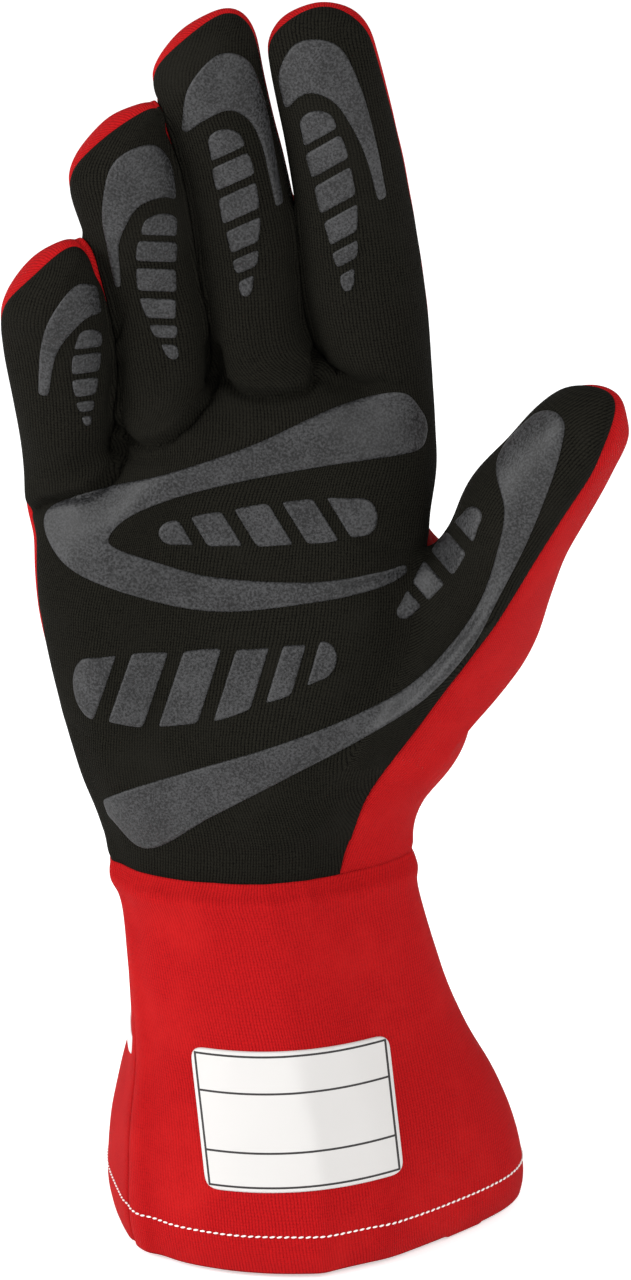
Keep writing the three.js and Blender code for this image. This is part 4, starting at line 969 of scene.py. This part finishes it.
def curve_through(points, t):
    """A place on the smooth curve through the points, at a share t of the way, point to point."""
    points = np.array(points)
    last = len(points) - 1
    k = min(int(t * last), last - 1)
    f = t * last - k
    p1, p2 = points[k], points[k + 1]
    p0 = points[k - 1] if k > 0 else 2 * p1 - p2
    p3 = points[k + 2] if k + 2 <= last else 2 * p2 - p1
    return 0.5 * (2 * p1 + (p2 - p0) * f + (2 * p0 - 5 * p1 + 4 * p2 - p3) * f * f
                  + (3 * p1 - p0 - 3 * p2 + p3) * f ** 3)


for name, edges in BANDS.items():
    outer, inner = [e[0] for e in edges], [e[1] for e in edges]
    steps = BAND_STEPS * len(edges)
    loop = [curve_through(outer, i / steps) for i in range(steps + 1)]
    loop += [curve_through(inner, i / steps) for i in range(steps, -1, -1)]
    band = lay_print(name + "_print", loop, PRINT_RISE, PRINT_ROOT, PRINT_EDGE, PRINT_SPACING, silicone)
    finish_print(band, name)


# Treads. Long drop shapes of the same silicone, cut into bars across the grip, on each finger, the
# palm, the heel and the thumb: head, foot, bend, full width, slant of the cuts, widths at five
# shares of the length, and where each gap starts and ends.
FULLNESS_AT = (0.08, 0.25, 0.5, 0.75, 0.92)
FINGER_DROP = (0.85, 1.0, 0.95, 0.68, 0.36)
FINGER_CUTS = ((0.15, 0.185), (0.325, 0.368), (0.525, 0.57), (0.71, 0.75), (0.845, 0.885))
LITTLE_CUTS = ((0.2, 0.25), (0.455, 0.505), (0.69, 0.735), (0.85, 0.885))
TREADS = {
    "pad_little_bar": ((-0.536, 0.746), (-0.546, 0.511), -0.012, 0.070, 10, FINGER_DROP, LITTLE_CUTS),
    "pad_ring_bar": ((-0.368, 1.024), (-0.337, 0.670), -0.028, 0.101, -7, FINGER_DROP, FINGER_CUTS),
    "pad_middle_bar": ((-0.224, 1.226), (-0.167, 0.821), 0.016, 0.101, 16, FINGER_DROP, FINGER_CUTS),
    "pad_index_bar": ((-0.006, 1.270), (0.078, 0.833), 0.016, 0.101, 18, FINGER_DROP, FINGER_CUTS),
    "pad_palm_bar": ((-0.378, 0.254), (0.150, 0.298), 0.0, 0.110, 27, (0.55, 0.75, 0.95, 1.0, 0.85),
                     ((0.127, 0.182), (0.336, 0.393), (0.559, 0.618), (0.766, 0.823))),
    "pad_heel_bar": ((-0.582, -0.115), (0.052, -0.036), -0.034, 0.182, -25,
                     (0.85, 1.0, 0.97, 0.72, 0.52),
                     ((0.117, 0.17), (0.309, 0.364), (0.513, 0.57), (0.705, 0.758), (0.856, 0.907))),
    "pad_thumb_bar": ((0.390, 0.318), (0.200, 0.052), 0.006, 0.080, -14, (0.6, 0.9, 1.0, 0.78, 0.5),
                      ((0.21, 0.295), (0.49, 0.57), (0.75, 0.81))),
}
ROUND_END = 0.07
CUT_ROUNDS = 12
BAR_STEPS = 24


def drop_half(wide, shape, share):
    v = min(1, max(0, share))
    k = 0
    while k < len(FULLNESS_AT) - 2 and v > FULLNESS_AT[k + 1]:
        k += 1
    part = min(1, max(0, (v - FULLNESS_AT[k]) / (FULLNESS_AT[k + 1] - FULLNESS_AT[k])))
    full = mix(shape[k], shape[k + 1], part * part * (3 - 2 * part))
    end = min(v, 1 - v) / ROUND_END
    return 0.5 * wide * full * (math.sqrt(max(0, 1 - (1 - end) ** 2)) if end < 1 else 1)


def bar_loop(tread, start, stop):
    """The part of a drop between two slanted cuts, as a closed line."""
    head, foot, bend, wide, slant, shape, _ = tread
    head, foot = np.array(head), np.array(foot)
    length = np.linalg.norm(foot - head)
    along = (foot - head) / length
    cross = np.array([-along[1], along[0]])
    lean = math.tan(math.radians(slant)) / length
    loop = []
    for side in (-1, 1):
        ends = []
        for cut in (start, stop):
            at = cut
            for _ in range(CUT_ROUNDS):
                at = cut - side * lean * drop_half(wide, shape, at) if 0 < cut < 1 else cut
            ends.append(min(1, max(0, at)))
        line = []
        for i in range(BAR_STEPS + 1):
            v = mix(ends[0], ends[1], 0.5 - 0.5 * math.cos(math.pi * i / BAR_STEPS))
            middle = head + (foot - head) * v + cross * (bend * 4 * v * (1 - v))
            line.append(middle + cross * (side * drop_half(wide, shape, v)))
        loop += line if side < 0 else line[::-1]
    return loop


for name, tread in TREADS.items():
    cuts = tread[-1]
    starts, stops = [0] + [cut[1] for cut in cuts], [cut[0] for cut in cuts] + [1]
    for i, (start, stop) in enumerate(zip(starts, stops)):
        bar = lay_print(f"{name}_{i + 1}_print", bar_loop(tread, start, stop), PRINT_RISE, PRINT_ROOT,
                        PRINT_EDGE, PRINT_SPACING, silicone)
        finish_print(bar, f"{name}_{i + 1}")


# Label. A white woven label is sewn to the front of the cuff. It keeps its printed frame and the two
# lines that divide it in three, and its fields are left plain.
LABEL_CORNERS = ((-0.301, -0.972), (0.174, -0.943), (0.212, -1.277), (-0.263, -1.315))
LABEL_SAG = 0.028
LABEL_RISE = 0.0007
LABEL_ROUND = 0.0022
LABEL_WIDTH = 0.0475
LABEL_TALL = 0.0340
LABEL_FRAME = 0.0010
LABEL_LINE = 0.00052
LABEL_DIVIDERS = (0.30, 0.72)
LABEL_EDGE = 0.006
LABEL_SPACING = 1.5 * PRINT_SPACING
CORNER_STEPS = 8
SIDE_STEPS = 12
label_corners = np.array(LABEL_CORNERS)


def label_place(t, down):
    top = mix(label_corners[0], label_corners[1], t)
    bottom = mix(label_corners[3], label_corners[2], t)
    return mix(top, bottom, down) - np.array([0, LABEL_SAG * 4 * t * (1 - t)])


# At each corner: the corner before it, the corner itself and the corner after it
CORNER_TURNS = (
    ((0, 1), (0, 0), (1, 0)), ((0, 0), (1, 0), (1, 1)),
    ((1, 0), (1, 1), (0, 1)), ((1, 1), (0, 1), (0, 0)),
)
label_loop = []
for (t0, d0), (t1, d1), (t2, d2) in CORNER_TURNS:
    for i in range(CORNER_STEPS + 1):
        turn = math.pi / 2 * i / CORNER_STEPS
        back, ahead = 1 - math.sin(turn), 1 - math.cos(turn)
        t = t1 + ((t0 - t1) * back + (t2 - t1) * ahead) * LABEL_ROUND / LABEL_WIDTH
        down = d1 + ((d0 - d1) * back + (d2 - d1) * ahead) * LABEL_ROUND / LABEL_TALL
        label_loop.append(label_place(t, down))
    for i in range(1, SIDE_STEPS):
        share = mix(LABEL_ROUND / LABEL_WIDTH, 1 - LABEL_ROUND / LABEL_WIDTH, i / SIDE_STEPS)
        label_loop.append(label_place(mix(t1, t2, share), mix(d1, d2, share)))
label = lay_print("label_cloth", label_loop, LABEL_RISE, PRINT_ROOT, LABEL_EDGE, LABEL_SPACING, None)

# The label's own measure: across and down it, from its top left corner
MEASURE_ROUNDS = 12
label_across = label_corners[1] - label_corners[0]
label_down = label_corners[3] - label_corners[0]
face_layer = label.data.uv_layers.new(name="face")
for corner in label.data.loops:
    spot = np.array(label.data.uv_layers["board"].data[corner.index].uv)
    t, down = 0.5, 0.5
    for _ in range(MEASURE_ROUNDS):
        miss = spot - label_place(t, down)
        t += miss @ label_across / (label_across @ label_across)
        down += miss @ label_down / (label_down @ label_down)
    face_layer.data[corner.index].uv = (t * LABEL_WIDTH, down * LABEL_TALL)

white_label, tree, shader, place = new_material("white_label", 0.6, 0.25)
face = add_node(tree, "ShaderNodeUVMap", uv_map="face").outputs["UV"]
spot = add_node(tree, "ShaderNodeSeparateXYZ", {0: face})


def away_from(value, centre):
    return maths(tree, "ABSOLUTE", maths(tree, "SUBTRACT", value, centre))


lines = 0.0
inside = 1.0
for value, size in ((spot.outputs["X"], LABEL_WIDTH), (spot.outputs["Y"], LABEL_TALL)):
    from_middle = away_from(value, size / 2)
    half = size / 2 - LABEL_FRAME
    lines = maths(tree, "MAXIMUM", lines, maths(tree, "GREATER_THAN", from_middle, half - LABEL_LINE))
    inside = maths(tree, "MULTIPLY", inside, maths(tree, "LESS_THAN", from_middle, half))
for share in LABEL_DIVIDERS:
    divider = maths(tree, "LESS_THAN", away_from(spot.outputs["Y"], share * LABEL_TALL), LABEL_LINE / 2)
    lines = maths(tree, "MAXIMUM", lines, divider)
lines = maths(tree, "MULTIPLY", lines, inside)
ink = blend(tree, lines, (0.465, 0.455, 0.445), (0.022, 0.020, 0.020))
tree.links.new(ink, shader.inputs["Base Color"])
raise_surface(tree, shader, grainy(tree, place, 2500, 2), 0.15, 0.0001)
label.data.materials.clear()
label.data.materials.append(white_label)
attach(label, "root")
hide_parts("label")


# Stripe. A narrow white twill tape is sewn flat round the back of the cuff, half way up it. It starts
# at the side seam, where the photograph shows its end, and its edges lie down on the red knit.
STRIPE_MIDDLE = -0.05 * PALM_WIDTH
STRIPE_LOW = 0.468 * CUFF_HEIGHT
STRIPE_HIGH = 0.516 * CUFF_HEIGHT
STRIPE_FROM, STRIPE_TO = 167, 328
STRIPE_STEPS = 260
STRIPE_LANES = 8
TAPE_RISE = 0.0006
TAPE_EDGE_RISE = 0.0002
TAPE_ROOT = 0.0003


def cloth_met(start, direction):
    """Where a ray meets the cloth, and the smooth outward direction there."""
    hit, _, index, _ = skin_tree.ray_cast(start, direction)
    return hit, Vector(skin_normals[skin_faces[index]].mean(axis=0)).normalized()


stripe_hits = []
for i in range(STRIPE_STEPS + 1):
    angle = math.radians(mix(STRIPE_FROM, STRIPE_TO, i / STRIPE_STEPS))
    outward = Vector((math.cos(angle), -math.sin(angle), 0))
    row = []
    for j in range(STRIPE_LANES + 1):
        height = mix(STRIPE_LOW, STRIPE_HIGH, j / STRIPE_LANES)
        start = Vector((STRIPE_MIDDLE, 0, height)) + outward * HEM_WIDTH
        row.append(cloth_met(start, -outward))
    stripe_hits.append(row)
stripe_points, stripe_quads = [], []
for side in (1, -1):
    for i, row in enumerate(stripe_hits):
        for j, (hit, normal) in enumerate(row):
            edge = j in (0, STRIPE_LANES) or i in (0, STRIPE_STEPS)
            rise = (TAPE_EDGE_RISE if edge else TAPE_RISE) if side == 1 else -TAPE_ROOT
            stripe_points.append(hit + normal * rise)
wide = STRIPE_LANES + 1
count = (STRIPE_STEPS + 1) * wide
for i in range(STRIPE_STEPS):
    for j in range(STRIPE_LANES):
        a, b, c, d = i * wide + j, i * wide + j + 1, (i + 1) * wide + j + 1, (i + 1) * wide + j
        stripe_quads.append((a, b, c, d))
        stripe_quads.append((count + a, count + d, count + c, count + b))
loop = list(range(wide)) + [i * wide + wide - 1 for i in range(1, STRIPE_STEPS + 1)]
loop += [STRIPE_STEPS * wide + j for j in range(wide - 2, -1, -1)]
loop += [i * wide for i in range(STRIPE_STEPS - 1, 0, -1)]
for a, b in zip(loop, loop[1:] + loop[:1]):
    stripe_quads.append((a, count + a, count + b, b))
stripe_mesh = bpy.data.meshes.new("cuff_stripe_tape")
stripe_mesh.from_pydata(stripe_points, [], stripe_quads)
if stripe_mesh.polygons[0].normal.dot(stripe_hits[0][0][1]) < 0:
    stripe_mesh.flip_normals()
shade_smooth(stripe_mesh)
white_tape, tree, shader, place = new_material("white_tape", 0.7)
twill = add_node(tree, "ShaderNodeTexWave", {"Vector": place, "Scale": 600, "Distortion": 1.0})
shade = blend(tree, twill.outputs["Fac"], (0.62, 0.615, 0.60), (0.76, 0.755, 0.75))
tree.links.new(shade, shader.inputs["Base Color"])
raise_surface(tree, shader, twill.outputs["Fac"], 0.3, 0.0001)
stripe_mesh.materials.append(white_tape)
stripe = add_object("cuff_stripe_tape", stripe_mesh)
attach(stripe, "root")
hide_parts("cuff_stripe")


# Hem stitching. The turned-up hem is held by one row of white thread, slightly slanted stitches a
# little under two millimetres apart, about ten millimetres above the hem's edge all the way round.
STITCH_HEIGHT = 0.0105
STITCH_PITCH = 0.00177
STITCH_LENGTH = 0.00145
STITCH_THICK = 0.00052
STITCH_SLANT = math.radians(10)
STITCH_RISE = 0.2
STITCH_RUN_POINTS = 720

stitch_points, stitch_outs = [], []
for i in range(STITCH_RUN_POINTS):
    angle = 2 * math.pi * i / STITCH_RUN_POINTS
    outward = Vector((math.cos(angle), -math.sin(angle), 0))
    start = Vector((0, 0, STITCH_HEIGHT)) + outward * HEM_WIDTH
    hit, smooth = cloth_met(start, -outward)
    stitch_points.append(hit + smooth * (STITCH_THICK * STITCH_RISE))
    stitch_outs.extend(smooth)
run_edges = [(i, (i + 1) % STITCH_RUN_POINTS) for i in range(STITCH_RUN_POINTS)]
run_mesh = bpy.data.meshes.new("hem_stitches")
run_mesh.from_pydata(stitch_points, run_edges, [])
run_mesh.attributes.new("out", "FLOAT_VECTOR", "POINT").data.foreach_set("vector", stitch_outs)
stitches = add_object("hem_stitches", run_mesh)

white_thread, tree, shader, place = new_material("white_thread", 0.55)
shade = blend(tree, grainy(tree, place, 1800, 2), (0.55, 0.50, 0.48), (0.80, 0.76, 0.74))
tree.links.new(shade, shader.inputs["Base Color"])

sewing = bpy.data.node_groups.new("stitch_run", "GeometryNodeTree")
sewing.interface.new_socket("Geometry", in_out="INPUT", socket_type="NodeSocketGeometry")
STITCH_VALUES = {
    "Pitch": ("Float", STITCH_PITCH), "Length": ("Float", STITCH_LENGTH),
    "Thickness": ("Float", STITCH_THICK), "Slant": ("Float", STITCH_SLANT),
    "Thread": ("Material", white_thread),
}
stitch_sockets = {}
for name, (kind, _) in STITCH_VALUES.items():
    socket = sewing.interface.new_socket(name, in_out="INPUT", socket_type="NodeSocket" + kind)
    stitch_sockets[name] = socket.identifier
sewing.interface.new_socket("Geometry", in_out="OUTPUT", socket_type="NodeSocketGeometry")
given = add_node(sewing, "NodeGroupInput").outputs
line = add_node(sewing, "GeometryNodeMeshToCurve", {0: given["Geometry"]})
spacing_from = {"Curve": line.outputs[0], "Length": given["Pitch"]}
spaced = add_node(sewing, "GeometryNodeResampleCurve", spacing_from, mode="LENGTH")
tangent = add_node(sewing, "GeometryNodeInputTangent")
out_named = add_node(sewing, "GeometryNodeInputNamedAttribute", {"Name": "out"}, data_type="FLOAT_VECTOR")
along = add_node(sewing, "FunctionNodeAlignRotationToVector", {"Vector": tangent.outputs[0]}, axis="X")
upward_from = {"Rotation": along.outputs["Rotation"], "Vector": out_named.outputs["Attribute"]}
upward = add_node(sewing, "FunctionNodeAlignRotationToVector", upward_from, axis="Z", pivot_axis="X")
uneven = add_node(sewing, "FunctionNodeRandomValue", {"Min": 0.5, "Max": 1.6, "Seed": 7}, data_type="FLOAT")
slant = maths(sewing, "MULTIPLY", given["Slant"], uneven.outputs[1])
slants = add_node(sewing, "ShaderNodeCombineXYZ", {"Z": slant})
lean_by = add_node(sewing, "FunctionNodeEulerToRotation", {0: slants.outputs[0]})
lean_from = {"Rotation": upward.outputs["Rotation"], "Rotate By": lean_by.outputs[0]}
lean = add_node(sewing, "FunctionNodeRotateRotation", lean_from, rotation_space="LOCAL")
bead = add_node(sewing, "GeometryNodeMeshUVSphere", {"Segments": 8, "Rings": 6, "Radius": 0.5})
size_from = {"X": given["Length"], "Y": given["Thickness"], "Z": given["Thickness"]}
size = add_node(sewing, "ShaderNodeCombineXYZ", size_from)
placed_from = {
    "Points": spaced.outputs[0], "Instance": bead.outputs["Mesh"],
    "Rotation": lean.outputs["Rotation"], "Scale": size.outputs[0],
}
placed = add_node(sewing, "GeometryNodeInstanceOnPoints", placed_from)
real = add_node(sewing, "GeometryNodeRealizeInstances", {0: placed.outputs[0]})
dyed_from = {"Geometry": real.outputs[0], "Material": given["Thread"]}
dyed = add_node(sewing, "GeometryNodeSetMaterial", dyed_from)
add_node(sewing, "NodeGroupOutput", {0: dyed.outputs[0]})

sewer = stitches.modifiers.new("sew", "NODES")
sewer.node_group = sewing
for name, (_, value) in STITCH_VALUES.items():
    sewer[stitch_sockets[name]] = value
sewn = with_modifiers(stitches)
stitches.modifiers.clear()
stitches.data = sewn
shade_smooth(sewn)
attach(stitches, "root")


# Floor, light and camera. The glove stands on its hem on a white floor under soft studio light from
# the upper left, and is seen from a little above, square to the palm.
FLOOR_DROP = 0.0012
FLOOR_CORNERS = ((-4, -2), (4, -2), (4, 6), (-4, 6))
floor_mesh = bpy.data.meshes.new("floor")
floor_mesh.from_pydata([(x, y, -FLOOR_DROP) for x, y in FLOOR_CORNERS], [], [(0, 1, 2, 3)])
floor = add_object("floor", floor_mesh)
floor_paint, _, shader, _ = new_material("floor_paint", 0.9)
shader.inputs["Base Color"].default_value = (0.9, 0.9, 0.9, 1)
shader.inputs["Emission Color"].default_value = (1, 1, 1, 1)
shader.inputs["Emission Strength"].default_value = 0.45
floor_mesh.materials.append(floor_paint)
floor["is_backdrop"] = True

world = bpy.data.worlds.new("studio")
world.use_nodes = True
tree = world.node_tree
tree.nodes["Background"].inputs["Color"].default_value = (1, 1, 1, 1)
seen = add_node(tree, "ShaderNodeLightPath").outputs["Is Camera Ray"]
strength = spread(tree, seen, {"To Min": 0.60, "To Max": 1.05})
tree.links.new(strength, tree.nodes["Background"].inputs["Strength"])
bpy.context.scene.world = world
bpy.context.scene.view_settings.view_transform = "Standard"

# Each lamp's place, size in metres and power; all are turned to the middle of the hand
HAND_MIDDLE = Vector((0, 0, 0.15))
LAMPS = {
    "key": ((-1.4, -0.60, 0.70), 0.9, 31),
    "fill": ((0.9, -1.2, 1.0), 1.1, 21),
}
for name, (spot, size, power) in LAMPS.items():
    lamp = bpy.data.lights.new(name, "AREA")
    lamp.size = size
    lamp.energy = power
    holder = add_object(name, lamp)
    holder.location = spot
    holder.rotation_euler = (HAND_MIDDLE - Vector(spot)).to_track_quat("-Z", "Y").to_euler()

CAMERA_AWAY = 1.2
CAMERA_AIM = Vector((0, 0, 0.150))
VIEW_TALL = 0.3136
camera_data = bpy.data.cameras.new("camera")
camera_data.sensor_width = 36
camera_data.sensor_fit = "AUTO"
camera_data.lens = camera_data.sensor_width * CAMERA_AWAY / VIEW_TALL
camera = add_object("camera", camera_data)
camera.location = CAMERA_AIM - INTO_PALM * CAMERA_AWAY
camera.rotation_euler = INTO_PALM.to_track_quat("-Z", "Y").to_euler()
bpy.context.scene.camera = camera

low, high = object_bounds()
